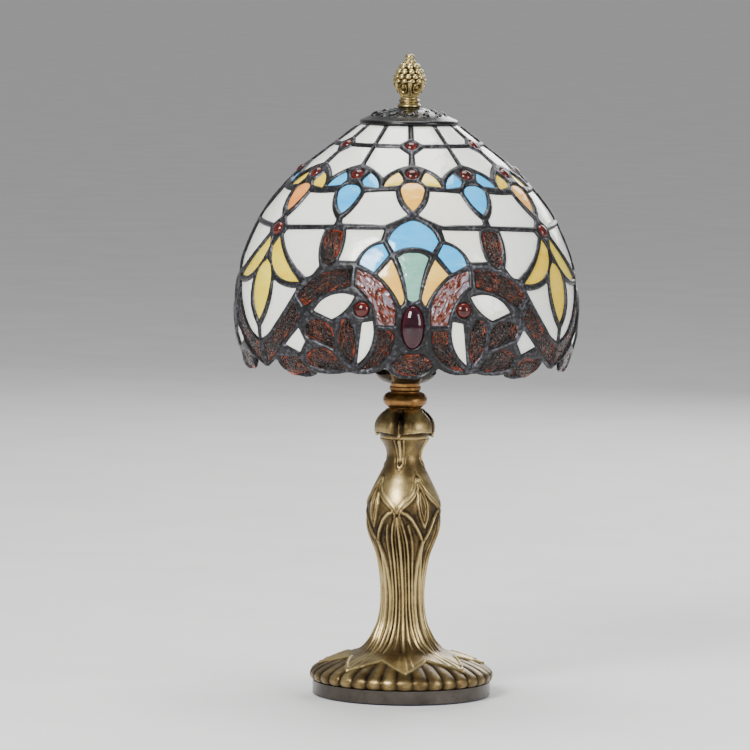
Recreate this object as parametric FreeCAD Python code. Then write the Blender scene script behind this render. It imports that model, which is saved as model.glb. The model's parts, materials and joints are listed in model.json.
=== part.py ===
import FreeCAD, Part
import math
import os
import Mesh
from FreeCAD import Vector

# Stained glass table lamp. Millimetres, +Z up, origin under the middle of the foot, front toward -Y.
os.makedirs("parts", exist_ok=True)

# ---- driving dimensions -------------------------------------------------------------------
FELT_R = 50.5
FELT_T = 1.0
DRUM_R = 52.0            # plain drum under the ribbed rim
DRUM_IN_R = 41.5
DRUM_TOP = 8.5
PLATE_T = 1.5
RIM_R = 53.6             # ribbed rim of the foot
RIM_RIBS = 36
STEM_R = 4.75            # lamp pipe
STEM_BORE_R = 3.2
STEM_HOLE_R = 5.0
STEM_Z0 = 12.5
STEM_Z1 = 190.0
WEB_Z0 = 22.0            # web inside the pedestal that the stem nut pulls against
WEB_Z1 = 25.5
PEDESTAL_TOP = 151.0
BUD_TOP = 168.6
BUD_TURN = -14.0          # azimuth of the bud's first groove
RING_Z = 173.3           # turned ring above the bud
RING_R = 8.4
RING_SECTION_R = 4.5
CUP_Z0 = 183.0
CUP_Z1 = 190.0
CUP_R = 18.5
HOLDER_Z0 = 186.9
HOLDER_R = 10.0
BULB_R = 22.5
BULB_Z = 258.0
HARP_WIRE_R = 1.6
HARP_HALF = 38.0
HARP_TOP = 327.0
STUD_R = 3.175
STUD_TOP = 351.0
CAP_BORE_R = 3.25
CAP_R = 28.4
FINIAL_Z0 = 343.7
FINIAL_TOP = 375.0
INSERT_R = 4.2
GLASS_T = 2.2
LEAD_T = 3.2
GLASS_INSET = 0.5        # how far the glass lies below the outside of the leading
FOIL_GAP = 0.06          # copper foil room round each pane

# meridian of the shade's outside: a straight cone, then two arcs
TOP_R = 27.0
TOP_Z = 335.2
CONE_LEN = 38.0
CONE_DROP = 37.5
BELLY_RADIUS = 110.0
SKIRT_RADIUS = 75.0
SKIRT_END = 117.0


def save(name, shape):
    """Write one node."""
    shape.exportStep("parts/" + name + ".step")


def save_all(name, shapes):
    """Write several loose solids as one node."""
    save(name, Part.makeCompound(shapes))


def lathe(points):
    """Turn a closed half profile of (radius, height) points round the Z axis."""
    corners = [Vector(r, 0, z) for r, z in points]
    face = Part.Face(Part.makePolygon(corners + [corners[0]]))
    return face.revolve(Vector(0, 0, 0), Vector(0, 0, 1), 360)


def lathe_smooth(points, rest):
    """Turn a profile whose outside is one smooth curve and whose other corners are rest."""
    curve = Part.BSplineCurve()
    curve.interpolate([Vector(r, 0, z) for r, z in points])
    corners = [Vector(points[-1][0], 0, points[-1][1])]
    corners += [Vector(r, 0, z) for r, z in rest]
    corners += [Vector(points[0][0], 0, points[0][1])]
    wire = Part.Wire([curve.toShape()] + Part.makePolygon(corners).Edges)
    return Part.Face(wire).revolve(Vector(0, 0, 0), Vector(0, 0, 1), 360)


def tube(r_out, r_in, z0, z1):
    """Plain ring between two heights."""
    outer = Part.makeCylinder(r_out, z1 - z0, Vector(0, 0, z0))
    if r_in <= 0:
        return outer
    return outer.cut(Part.makeCylinder(r_in, z1 - z0, Vector(0, 0, z0)))


def turned(shape, degrees):
    """Copy turned round the Z axis."""
    copy = shape.copy()
    copy.rotate(Vector(0, 0, 0), Vector(0, 0, 1), degrees)
    return copy


# ---- foot and pedestal --------------------------------------------------------------------
save("felt_pad", tube(FELT_R, 0, 0, FELT_T))

SCREW_R = 1.5
SCREW_RING = 46.8
SCREW_ANGLES = [30, 150, 270]
HEAD_R = 3.0
drum = tube(DRUM_R, DRUM_IN_R, FELT_T, DRUM_TOP)
plate = drum.fuse(tube(DRUM_IN_R, 6.0, FELT_T, FELT_T + PLATE_T)).removeSplitter()
GLAND_Z = 5.6
GLAND_R = 2.8
GLAND_BORE_R = 2.0
gland_hole = Part.makeCylinder(GLAND_R, 20, Vector(0, 38, GLAND_Z), Vector(0, 1, 0))
plate = plate.cut(gland_hole)
screws = []
for angle in SCREW_ANGLES:
    x = SCREW_RING * math.cos(math.radians(angle))
    y = SCREW_RING * math.sin(math.radians(angle))
    plate = plate.cut(Part.makeCylinder(SCREW_R + 0.1, 20, Vector(x, y, 0)))
    plate = plate.cut(Part.makeCylinder(HEAD_R + 0.1, 2.2, Vector(x, y, FELT_T)))
    shank = Part.makeCylinder(SCREW_R, 10.4, Vector(x, y, 2.6))
    screws.append(shank.fuse(Part.makeCylinder(HEAD_R, 1.6, Vector(x, y, 1.6))).removeSplitter())
save("base_plate", plate)
save_all("plate_screws", screws)

ballast = tube(DRUM_IN_R - 0.4, 8.0, FELT_T + PLATE_T, 8.0)
ballast = ballast.cut(Part.makeBox(9, 50, 10, Vector(-4.5, 0, FELT_T + PLATE_T)))
save("ballast_disc", ballast)

gland = Part.makeCylinder(GLAND_R - 0.02, 13.4, Vector(0, 39.6, GLAND_Z), Vector(0, 1, 0))
flange = Part.makeCylinder(3.4, 1.2, Vector(0, DRUM_R + 0.1, GLAND_Z), Vector(0, 1, 0))
gland = gland.fuse(flange)
gland = gland.cut(Part.makeCylinder(GLAND_BORE_R, 20, Vector(0, 38, GLAND_Z), Vector(0, 1, 0)))
save("cord_bushing", gland)

# outside of the pedestal from the foot's shoulder up to the neck
PEDESTAL = [
    (50.6, 15.4), (46.6, 18.6), (35.2, 22.6), (26.4, 25.6), (20.6, 30.3), (16.0, 37.3),
    (13.3, 44.3), (11.9, 56.0), (13.0, 72.3), (15.7, 84.0), (19.6, 93.3), (21.4, 102.6),
    (21.6, 109.5), (19.6, 117.5), (15.7, 125.9), (11.4, 135.3), (9.8, 141.6), (10.9, 146.0),
    (13.0, 149.3), (14.4, PEDESTAL_TOP),
]
inside = [
    (STEM_HOLE_R, PEDESTAL_TOP), (STEM_HOLE_R, 140.0), (7.4, 137.0), (15.6, 112.0),
    (15.0, 98.0), (8.6, 70.0), (7.6, 52.0), (10.4, 40.0), (15.4, 31.0), (15.4, WEB_Z1),
    (STEM_HOLE_R, WEB_Z1), (STEM_HOLE_R, WEB_Z0), (13.0, WEB_Z0), (24.0, 20.6), (33.0, 19.4), (43.2, 15.6),
    (43.2, DRUM_TOP), (DRUM_R - 2.6, DRUM_TOP), (DRUM_R - 2.6, 12.2),
]
body = lathe_smooth(PEDESTAL, inside)
rim_mid_z = 12.1
rim_section = 3.45
rim = Part.makeTorus(RIM_R - rim_section, rim_section, Vector(0, 0, rim_mid_z))
rim = rim.fuse(tube(RIM_R - rim_section, DRUM_R - 4.0, DRUM_TOP, 15.5))
# V grooves between the ribs
groove_depth = 1.5
grooves = []
for index in range(RIM_RIBS):
    tip = Vector(RIM_R - groove_depth, 0, 0)
    wide = 1.5
    edge = Part.makePolygon([tip, Vector(RIM_R + 1, -wide, 0), Vector(RIM_R + 1, wide, 0), tip])
    wedge = Part.Face(edge).extrude(Vector(0, 0, 9))
    wedge.translate(Vector(0, 0, 8))
    grooves.append(turned(wedge, (index + 0.5) * 360.0 / RIM_RIBS))
rim = rim.cut(Part.makeCompound(grooves))
pedestal = body.fuse(rim)
pedestal = pedestal.cut(tube(RIM_R + 2, 0, 0, DRUM_TOP))
for angle in SCREW_ANGLES:
    x = SCREW_RING * math.cos(math.radians(angle))
    y = SCREW_RING * math.sin(math.radians(angle))
    pedestal = pedestal.cut(Part.makeCylinder(SCREW_R + 0.02, 4.7, Vector(x, y, DRUM_TOP)))
save("pedestal_casting", pedestal.removeSplitter())

BUD = [
    (14.5, PEDESTAL_TOP + 0.05), (17.2, 152.9), (18.0, 155.8), (17.8, 159.2), (16.2, 163.0),
    (13.4, 166.2), (9.8, BUD_TOP),
]
bud = lathe_smooth(BUD, [(STEM_HOLE_R, BUD_TOP), (STEM_HOLE_R, PEDESTAL_TOP + 0.05)])
# a groove between each pair of petals
petal_groove_r = 2.3
petal_groove_out = 19.0
for quarter in range(4):
    turn = math.radians(BUD_TURN + 90.0 * quarter)
    x = petal_groove_out * math.sin(turn)
    y = -petal_groove_out * math.cos(turn)
    bud = bud.cut(Part.makeCylinder(petal_groove_r, 12.0, Vector(x, y, 153.6)))
save("bud_casting", bud)

# ---- stem hardware ------------------------------------------------------------------------
save("stem_pipe", tube(STEM_R, STEM_BORE_R, STEM_Z0, STEM_Z1))
save("stem_washer", tube(12.0, STEM_HOLE_R, WEB_Z0 - 1.5, WEB_Z0))
hexagon = [Vector(8.2 * math.cos(math.radians(60 * k)), 8.2 * math.sin(math.radians(60 * k)), 0)
           for k in range(7)]
nut = Part.Face(Part.makePolygon(hexagon)).extrude(Vector(0, 0, 6))
nut.translate(Vector(0, 0, WEB_Z0 - 7.5))
save("stem_nut", nut.cut(tube(STEM_R + 0.02, 0, 0, 40)))

ring = Part.makeTorus(RING_R, RING_SECTION_R, Vector(0, 0, RING_Z))
ring = ring.cut(tube(STEM_HOLE_R, 0, 160, 190))
ring = ring.fuse(tube(RING_R, STEM_HOLE_R, BUD_TOP, RING_Z + RING_SECTION_R + 0.4))
save("neck_ring", ring.cut(tube(30, 0, 160, BUD_TOP)).removeSplitter())
collar_z0 = RING_Z + RING_SECTION_R + 0.4
save("neck_collar", lathe([
    (STEM_HOLE_R, collar_z0), (8.4, collar_z0), (9.2, collar_z0 + 1.2), (9.2, collar_z0 + 2.6),
    (8.6, collar_z0 + 3.2), (8.9, CUP_Z0), (STEM_HOLE_R, CUP_Z0),
]))

# flared dish with a faintly scalloped lip
cup = lathe([
    (STEM_HOLE_R, CUP_Z0), (9.4, CUP_Z0), (13.0, CUP_Z0 + 1.1), (16.0, CUP_Z0 + 3.6),
    (CUP_R, CUP_Z1), (CUP_R - 1.3, CUP_Z1), (15.0, CUP_Z0 + 4.4), (12.4, CUP_Z0 + 2.4),
    (STEM_HOLE_R, CUP_Z0 + 2.4),
])
save("socket_cup", cup)

# harp saddle: a strip on the stem, turned up at both ends
saddle_z = CUP_Z0 + 2.4
LEG_X = 14.3
saddle = Part.makeBox(26.0, 7.0, 1.4, Vector(-13.0, -3.5, saddle_z))
saddle = saddle.fuse(tube(9.0, 0, saddle_z, saddle_z + 1.4))
saddle = saddle.common(tube(12.1, STEM_HOLE_R, saddle_z, saddle_z + 2))
for side in (-1, 1):
    arm = Part.makeBox(1.2, 5.0, 10.0, Vector(-0.6, -2.5, saddle_z + 0.6))
    arm.translate(Vector(side * 11.3, 0, 0))
    sleeve = Part.makeCylinder(2.6, 8.0, Vector(side * LEG_X, 0, saddle_z + 8.0))
    saddle = saddle.fuse(arm).fuse(sleeve)
for side in (-1, 1):
    leg_hole = Part.makeCylinder(HARP_WIRE_R + 0.02, 20, Vector(side * LEG_X, 0, saddle_z + 8.6))
    saddle = saddle.cut(leg_hole)
save("harp_saddle", saddle.removeSplitter())

# harp bow: legs in the sleeves, swelling out round the bulb and closing at the top
leg_z = saddle_z + 8.7
path = Part.BSplineCurve()
half_path = [(LEG_X, leg_z + 8.0), (20.0, 211.0), (33.0, 228.0), (HARP_HALF, 250.0),
             (HARP_HALF - 0.6, 285.0), (29.5, 311.0), (13.0, 325.0)]
points = [Vector(-x, 0, z) for x, z in half_path]
points += [Vector(0, 0, HARP_TOP)]
points += [Vector(x, 0, z) for x, z in reversed(half_path)]
path.interpolate(Points=points, InitialTangent=Vector(0, 0, 1), FinalTangent=Vector(0, 0, -1))
left_leg = Part.makeLine(Vector(-LEG_X, 0, leg_z), Vector(-LEG_X, 0, leg_z + 8.0))
right_leg = Part.makeLine(Vector(LEG_X, 0, leg_z + 8.0), Vector(LEG_X, 0, leg_z))
spine = Part.Wire([left_leg, path.toShape(), right_leg])
section = Part.Wire(Part.makeCircle(HARP_WIRE_R, Vector(-LEG_X, 0, leg_z), Vector(0, 0, 1)))
bow = spine.makePipeShell([section], True, True)
stud_seat = HARP_TOP - 0.4
bow = bow.cut(tube(6, 0, stud_seat, HARP_TOP + 5))
save("harp_bow", bow)

shoulder_z = 340.9
stud = lathe([
    (0, stud_seat), (4.6, stud_seat), (4.6, stud_seat + 3.0), (STUD_R, stud_seat + 4.0),
    (STUD_R, shoulder_z - 1.2), (6.0, shoulder_z - 1.2), (6.0, shoulder_z - 0.2),
    (STUD_R, shoulder_z - 0.2), (STUD_R, STUD_TOP - 0.6), (STUD_R - 0.6, STUD_TOP), (0, STUD_TOP),
])
save("harp_stud", stud)
save("cap_washer", tube(7.0, CAP_BORE_R, shoulder_z - 0.2, shoulder_z + 0.8))

# ---- lampholder and bulb ------------------------------------------------------------------
save("lampholder_cap", lathe([
    (STEM_R + 0.05, HOLDER_Z0), (7.0, HOLDER_Z0), (9.4, HOLDER_Z0 + 1.6), (HOLDER_R, 192.0),
    (HOLDER_R, 194.6), (HOLDER_R - 0.8, 194.6), (HOLDER_R - 0.8, 192.4), (8.6, 190.2),
    (STEM_R + 0.05, 190.2),
]))
save("lampholder_shell", lathe([
    (9.15, 194.9), (HOLDER_R + 0.2, 194.9), (HOLDER_R, 196.2), (HOLDER_R, 216.0),
    (HOLDER_R - 0.5, 217.4), (9.15, 217.4),
]))
save("socket_insulator", lathe([
    (0, 192.6), (9.1, 192.6), (9.1, 217.0), (7.6, 217.0), (7.6, 198.6), (1.9, 198.6),
    (1.9, 196.4), (0, 196.4),
]))
save("socket_screw_shell", tube(7.55, 7.1, 198.7, 216.4))
save("socket_contact", lathe([
    (0, 196.45), (1.85, 196.45), (1.85, 199.4), (1.4, 200.0), (0, 200.0),
]))
save("bulb_contact", lathe([(0, 200.05), (1.8, 200.05), (2.6, 201.0), (2.6, 201.4), (0, 201.4)]))
save("bulb_cap", lathe([
    (2.7, 201.45), (6.4, 203.6), (6.9, 204.6), (6.9, 221.0), (6.5, 221.0), (6.5, 205.0),
    (2.7, 202.6),
]))
bulb_out = [
    (6.45, 220.0), (6.45, 225.0), (9.0, 232.0), (15.4, 240.6), (20.6, 248.6), (BULB_R, BULB_Z),
    (20.8, 267.6), (15.0, 275.6), (7.6, 279.8), (0.0, 281.0),
]
bulb_in = [(r - 0.8, z) if z < 270 else (max(r - 0.6, 0), z - 0.8) for r, z in bulb_out]
outer_curve = Part.BSplineCurve()
outer_curve.interpolate([Vector(r, 0, z) for r, z in bulb_out])
inner_curve = Part.BSplineCurve()
inner_curve.interpolate([Vector(r, 0, z) for r, z in bulb_in])
top_edge = Part.makeLine(Vector(0, 0, bulb_out[-1][1]), Vector(0, 0, bulb_in[-1][1]))
low_edge = Part.makeLine(Vector(bulb_in[0][0], 0, 220.0), Vector(bulb_out[0][0], 0, 220.0))
wire = Part.Wire([outer_curve.toShape(), top_edge, inner_curve.toShape(), low_edge])
save("bulb_glass", Part.Face(wire).revolve(Vector(0, 0, 0), Vector(0, 0, 1), 360))
save("bulb_mount", lathe([
    (0, 221.0), (5.3, 221.0), (3.4, 224.0), (2.2, 229.0), (2.0, 240.0), (0, 241.0),
]))
# a ring of upright filament strands on a hub
strands = [Part.makeCylinder(3.0, 0.8, Vector(0, 0, z)) for z in (241.05, 262.0)]
for k in range(4):
    a = math.radians(45 + 90 * k)
    strands.append(Part.makeCylinder(0.7, 20.5, Vector(2.2 * math.cos(a), 2.2 * math.sin(a), 241.5)))
filament = strands[0]
for strand in strands[1:]:
    filament = filament.fuse(strand)
save("bulb_filament", filament)

# ---- vase cap and finial ------------------------------------------------------------------
seat_slope = math.tan(math.radians(CONE_DROP))


def seat(r):
    """Height of the cap's cone seat, a hair above the leading."""
    return TOP_Z - (r - TOP_R) * seat_slope + 0.04


cap = lathe([
    (CAP_R, seat(CAP_R)), (CAP_R + 0.2, 335.4), (CAP_R, 336.4), (27.0, 337.3), (23.0, 339.3),
    (18.0, 341.0), (12.0, 342.6), (8.0, 343.5), (CAP_BORE_R, 343.6), (CAP_BORE_R, 341.8),
    (8.0, 341.7), (12.0, 340.8), (18.0, 339.3), (23.0, 338.2), (23.0, seat(23.0) + 0.02),
])
BEADS = 18
BEAD_RING = 17.6
BEAD_R = 1.7
beads = [turned(Part.makeSphere(BEAD_R, Vector(BEAD_RING, 0, 341.0)), k * 360.0 / BEADS)
         for k in range(BEADS)]
save("vase_cap", cap.fuse(beads).removeSplitter())

CONE = [
    (6.4, FINIAL_Z0), (6.6, 345.4), (5.0, 346.6), (5.8, 347.8), (5.4, 349.6), (7.2, 353.0),
    (9.3, 356.4), (9.9, 359.4), (9.3, 363.6), (7.6, 368.0), (5.2, 371.4), (4.0, 373.2),
    (2.6, 374.6),
]
cone_rest = [(0, FINIAL_TOP), (0, 353.0), (INSERT_R, 353.0), (INSERT_R, FINIAL_Z0)]
save("finial_cone", lathe_smooth(CONE, cone_rest))
save("finial_insert", tube(INSERT_R - 0.03, STUD_R + 0.05, FINIAL_Z0 + 0.1, 352.6))

# ---- shade: leading and glass -------------------------------------------------------------
BELLY_TURN = math.radians(90.0 - CONE_DROP)
BELLY_LEN = BELLY_RADIUS * BELLY_TURN


def on_shade(degrees, s, depth):
    """Point on the shade: degrees round from the front, s down the meridian, depth inward."""
    slope = math.radians(CONE_DROP)
    if s <= CONE_LEN:
        r = TOP_R + s * math.cos(slope)
        z = TOP_Z - s * math.sin(slope)
    else:
        r = TOP_R + CONE_LEN * math.cos(slope)
        z = TOP_Z - CONE_LEN * math.sin(slope)
        turn = min((s - CONE_LEN) / BELLY_RADIUS, BELLY_TURN)
        end = slope + turn
        r += BELLY_RADIUS * (math.sin(end) - math.sin(slope))
        z += BELLY_RADIUS * (math.cos(end) - math.cos(slope))
        slope = end
        left = s - CONE_LEN - BELLY_LEN
        if left > 0:
            end = slope + left / SKIRT_RADIUS
            r += SKIRT_RADIUS * (math.sin(end) - math.sin(slope))
            z += SKIRT_RADIUS * (math.cos(end) - math.cos(slope))
            slope = end
    r -= depth * math.sin(slope)
    z -= depth * math.cos(slope)
    a = math.radians(degrees)
    return Vector(r * math.sin(a), -r * math.cos(a), z)


def radius_at(s):
    """Radius of the shade's outside at s."""
    return abs(on_shade(0, s, 0).y)


# Outlines of the glass seen between the leading: (degrees, millimetres down the meridian).
# A point marked THROUGH makes the stretch between its neighbours an arc through it.
# Each outline belongs to one half of a repeat, 0 to 60 degrees. It is mirrored and repeated.
THROUGH = True
REPEATS = 3
HALF = 60.0

PANES = {
    "crown_glass": [
        [(3.3, 1.6), (26.8, 1.6), (27.9, 17.4), (9.2, 17.4), (2.7, 13.2)],
        [(33.2, 1.6), (56.7, 1.6), (57.3, 13.2), (50.8, 17.4), (32.1, 17.4)],
    ],
    "collar_glass": [
        [(9.2, 21.2), (28.1, 21.2), (28.3, 36.2), (22.6, 39.4, THROUGH), (15.2, 46.6),
         (9.0, 39.6, THROUGH), (2.3, 36.4), (2.1, 26.8)],
        [(50.8, 21.2), (57.9, 26.8), (57.7, 36.8), (51.4, 40.4, THROUGH), (44.8, 47.4),
         (38.0, 39.8, THROUGH), (31.7, 36.2), (31.9, 21.2)],
    ],
    "shoulder_glass": [
        [(8.0, 57.4), (15.5, 58.0, THROUGH), (22.0, 59.0), (24.6, 69.5, THROUGH), (28.5, 77.5),
         (28.3, 80.2), (10.6, 80.0), (6.2, 76.8, THROUGH), (2.2, 73.4), (6.0, 66.2, THROUGH)],
        [(37.6, 59.6), (45.0, 60.6, THROUGH), (52.0, 60.8), (54.0, 70.0, THROUGH),
         (58.0, 78.6), (55.2, 83.0), (31.8, 81.0), (31.5, 77.8), (35.6, 69.5, THROUGH)],
    ],
    "field_glass": [
        [(11.0, 83.6), (25.8, 84.2), (25.3, 93.5, THROUGH), (26.6, 102.8), (20.4, 102.8),
         (17.8, 96.0, THROUGH), (12.0, 90.0)],
        [(35.2, 84.6), (53.8, 86.4), (54.9, 89.6), (47.4, 103.0, THROUGH), (38.8, 113.4),
         (37.2, 112.8), (34.0, 106.8), (35.6, 96.0, THROUGH)],
    ],
    "teardrop_glass": [
        [(27.2, 85.6), (30.4, 84.6, THROUGH), (33.6, 85.6), (34.0, 94.4, THROUGH),
         (31.8, 105.2), (30.4, 106.3, THROUGH), (29.0, 105.2), (26.9, 94.4, THROUGH)],
    ],
    "fan_side_glass": [
        [(11.0, 92.2), (16.2, 96.2, THROUGH), (18.8, 104.6), (13.4, 109.0), (8.7, 98.8)],
    ],
    "fan_amber_glass": [
        [(7.6, 101.4), (12.0, 110.4), (7.0, 119.4, THROUGH), (4.0, 128.2), (3.0, 124.8),
         (4.8, 112.0, THROUGH)],
    ],
    "flame_side_glass": [
        [(57.0, 91.0), (59.0, 97.2), (54.4, 110.6, THROUGH), (46.5, 116.6), (41.4, 116.6),
         (49.6, 104.4, THROUGH)],
    ],
    "wing_glass": [
        [(42.0, 120.6), (47.8, 120.0, THROUGH), (53.4, 116.8), (53.9, 130.5, THROUGH),
         (58.9, 144.2), (59.1, 151.2), (54.8, 147.6), (48.0, 135.6, THROUGH)],
    ],
    "streaky_glass": [
        [(19.2, 108.1), (14.4, 110.8), (8.0, 121.0, THROUGH), (6.0, 139.4), (11.3, 139.2),
         (13.2, 128.6, THROUGH), (19.0, 117.2)],
    ],
    "band_upper_glass": [
        [(21.6, 107.6), (32.6, 111.6, THROUGH), (41.2, 123.6), (38.0, 130.0),
         (30.4, 122.6, THROUGH), (21.8, 117.2)],
    ],
    "band_lower_glass": [
        [(42.8, 128.4), (47.2, 138.6, THROUGH), (53.2, 149.0), (58.9, 154.4), (58.9, 165.6),
         (54.6, 161.6), (46.8, 150.4, THROUGH), (40.0, 136.8)],
    ],
    "white_accents": [
        [(19.6, 123.2), (27.0, 122.9, THROUGH), (34.2, 132.4), (27.3, 136.8),
         (22.6, 131.0, THROUGH)],
        [(13.2, 137.2), (16.7, 138.4), (17.6, 150.0, THROUGH), (18.9, 162.8),
         (14.0, 152.0, THROUGH)],
        [(40.2, 143.2), (46.4, 153.2), (40.4, 157.2), (37.9, 150.6)],
    ],
    "leaf_glass": [
        [(6.2, 143.0), (11.3, 142.2), (12.8, 155.0, THROUGH), (18.2, 166.6),
         (9.4, 159.0, THROUGH)],
        [(21.4, 136.4), (23.4, 136.4), (25.0, 148.0, THROUGH), (21.2, 163.2),
         (19.2, 149.0, THROUGH)],
        [(26.8, 143.8), (30.2, 138.4, THROUGH), (36.2, 139.4), (37.4, 144.0, THROUGH),
         (34.2, 148.8), (26.6, 153.8)],
        [(26.6, 158.6), (31.4, 153.8, THROUGH), (36.2, 156.8), (37.9, 161.2, THROUGH),
         (34.8, 165.8), (29.0, 167.2, THROUGH), (23.6, 165.8)],
        [(42.6, 160.6), (50.0, 161.2), (49.9, 166.2, THROUGH), (42.0, 170.4),
         (37.6, 170.0), (39.0, 164.4, THROUGH)],
    ],
}
# petals of one flower, beside its middle line
PETAL = [(7.5, 42.4), (5.6, 45.8, THROUGH), (4.6, 49.2), (6.4, 52.4), (13.8, 53.8),
         (11.8, 47.2, THROUGH)]
# half outlines that start and end on the mirror line at 0 or 60 degrees
CREST = [(0, 77.4), (6.2, 82.4, THROUGH), (9.2, 90.6), (6.7, 96.8), (3.6, 94.6, THROUGH),
         (0, 93.8)]
HEART = [(0, 97.4), (3.0, 98.0, THROUGH), (5.3, 100.4), (3.0, 112.0, THROUGH), (1.8, 124.2),
         (1.0, 125.2, THROUGH), (0, 125.5)]
KEYSTONE = [(0, 156.2), (3.8, 156.4), (7.0, 162.4), (4.6, 167.6, THROUGH), (0, 169.2)]
FLAME_MIDDLE = [(0, 105.4), (3.6, 110.4, THROUGH), (4.9, 117.6), (3.8, 130.0, THROUGH),
                (0, 140.4)]
DROP = [(0, 50.8), (3.6, 51.9, THROUGH), (5.4, 55.2), (3.6, 64.2, THROUGH), (0, 71.0)]
# lower edge of the leading over one half repeat
EDGE = [(0, 171.9), (5.2, 170.4, THROUGH), (9.2, 165.2), (13.0, 168.3, THROUGH), (18.6, 169.4),
        (22.6, 168.6), (29.5, 170.2, THROUGH), (35.2, 169.6), (35.7, 171.4),
        (38.8, 173.0, THROUGH), (42.2, 172.8), (49.6, 169.6, THROUGH), (52.2, 163.6),
        (54.6, 164.4), (60, 168.9)]
LEAD_TOP = -3.0
# jewels: (degrees, s, half width, half height)
RED_CABOCHONS = [
    (0, 19.2, 2.9, 2.9), (60, 19.2, 2.9, 2.9), (0, 44.2, 3.3, 3.3), (30, 44.8, 3.3, 3.3),
    (60, 45.2, 3.3, 3.3), (60, 86.2, 3.7, 3.7),
]
EYE_JEWELS = [(16.9, 130.6, 3.8, 3.8)]
OVAL_JEWELS = [(0, 140.4, 6.0, 12.0)]
LONGEST = 9.0            # longest straight step in an outline
ARC_STEPS = 4


def arc_points(a, middle, b):
    """Points between a and b on the circle through middle, in degrees and millimetres."""
    scale = math.radians(1) * radius_at(middle[1])
    ends = [Vector(p[0] * scale, p[1], 0) for p in (a, middle, b)]
    arc = Part.Arc(ends[0], ends[1], ends[2])
    low, high = arc.FirstParameter, arc.LastParameter
    found = [arc.value(low + (high - low) * k / ARC_STEPS) for k in range(1, ARC_STEPS)]
    if (found[0] - ends[0]).Length > (found[0] - ends[2]).Length:
        found.reverse()
    return [(p.x / scale, p.y) for p in found]


def outline(points, closed=True):
    """Straight steps along an outline, with its arcs and long sides divided."""
    steps = []
    count = len(points)
    for index, point in enumerate(points):
        if len(point) == 3:
            steps += arc_points(points[index - 1], point, points[(index + 1) % count])
        else:
            steps.append((float(point[0]), float(point[1])))
    divided = []
    for index, a in enumerate(steps):
        divided.append(a)
        if index == len(steps) - 1 and not closed:
            break
        b = steps[(index + 1) % len(steps)]
        scale = math.radians(1) * radius_at((a[1] + b[1]) / 2)
        parts = int(math.hypot((b[0] - a[0]) * scale, b[1] - a[1]) / LONGEST) + 1
        parts = max(parts, int(abs(b[0] - a[0]) / 6.01) + 1)
        for k in range(1, parts):
            divided.append((a[0] + (b[0] - a[0]) * k / parts, a[1] + (b[1] - a[1]) * k / parts))
    return divided


def ellipse(jewel, sides=12, grow=0.0):
    """Outline of a jewel."""
    middle, s, half_width, half_height = jewel
    scale = math.radians(1) * radius_at(s)
    turns = [2 * math.pi * k / sides for k in range(sides)]
    return [(middle + (half_width + grow) * math.sin(t) / scale,
             s - (half_height + grow) * math.cos(t)) for t in turns]


def whole(half, middle):
    """Full outline from a half outline that starts and ends on a mirror line."""
    right = [(middle + p[0],) + tuple(p[1:]) for p in half]
    left = [(middle - p[0],) + tuple(p[1:]) for p in reversed(half) if p[0] != 0]
    return right + left


def shifted(points, degrees, down, mirror=1):
    """Outline moved round and down."""
    return [(degrees + mirror * p[0], p[1] + down) + tuple(p[2:]) for p in points]


def flat_face(steps):
    """Outline laid flat as a face, degrees across and millimetres down."""
    corners = [Vector(t, s, 0) for t, s in steps]
    return Part.Face(Part.makePolygon(corners + [corners[0]]))


def skin(face):
    """Triangles of a flat face as triples of rounded (degrees, s)."""
    points, triangles = face.tessellate(0.05)
    found = []
    for tri in triangles:
        a, b, c = [(round(points[k].x, 4), round(points[k].y, 4)) for k in tri]
        turn = (b[0] - a[0]) * (c[1] - a[1]) - (b[1] - a[1]) * (c[0] - a[0])
        if abs(turn) < 1e-6:
            continue
        if turn < 0:
            b, c = c, b
        found.append((a, b, c))
    return found


def plate_from(triangles, top, bottom):
    """Closed solid between two depths over a set of (degrees, s) triangles."""
    facets = []
    sides = {}
    for a, b, c in triangles:
        for p, q in ((a, b), (b, c), (c, a)):
            if (q, p) in sides:
                del sides[(q, p)]
            else:
                sides[(p, q)] = True
        outer = [on_shade(p[0], p[1], top) for p in (a, b, c)]
        inner = [on_shade(p[0], p[1], bottom) for p in (a, c, b)]
        facets += [outer[0], outer[2], outer[1]]
        facets += [inner[0], inner[2], inner[1]]
    for p, q in sides:
        p_out = on_shade(p[0], p[1], top)
        q_out = on_shade(q[0], q[1], top)
        p_in = on_shade(p[0], p[1], bottom)
        q_in = on_shade(q[0], q[1], bottom)
        facets += [p_out, q_out, q_in]
        facets += [p_out, q_in, p_in]
    grid = Mesh.Mesh([facets[k:k + 3] for k in range(0, len(facets), 3)])
    shape = Part.Shape()
    shape.makeShapeFromMesh(grid.Topology, 0.001)
    solid = Part.makeSolid(Part.makeShell(shape.Faces) if not shape.Shells else shape.Shells[0])
    if solid.Volume < 0:
        solid.reverse()
    return solid


def pane(steps):
    """One flat faced piece of glass, a little smaller than its window."""
    middle_s = sum(p[1] for p in steps) / len(steps)
    scale = math.radians(1) * radius_at(middle_s)
    corners = [Vector(t * scale, s, 0) for t, s in steps]
    wire = Part.makePolygon(corners + [corners[0]])
    small = wire.makeOffset2D(-FOIL_GAP, 2)
    if Part.Face(small).Area > Part.Face(wire).Area:
        small = wire.makeOffset2D(FOIL_GAP, 2)
    inset = [(v.Point.x / scale, v.Point.y) for v in small.OrderedVertexes]
    triangles = skin(flat_face(inset))
    return plate_from(triangles, GLASS_INSET, GLASS_INSET + GLASS_T)


def mirrored(shape):
    """Copy mirrored across the front to back plane."""
    return shape.mirror(Vector(0, 0, 0), Vector(1, 0, 0))


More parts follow.
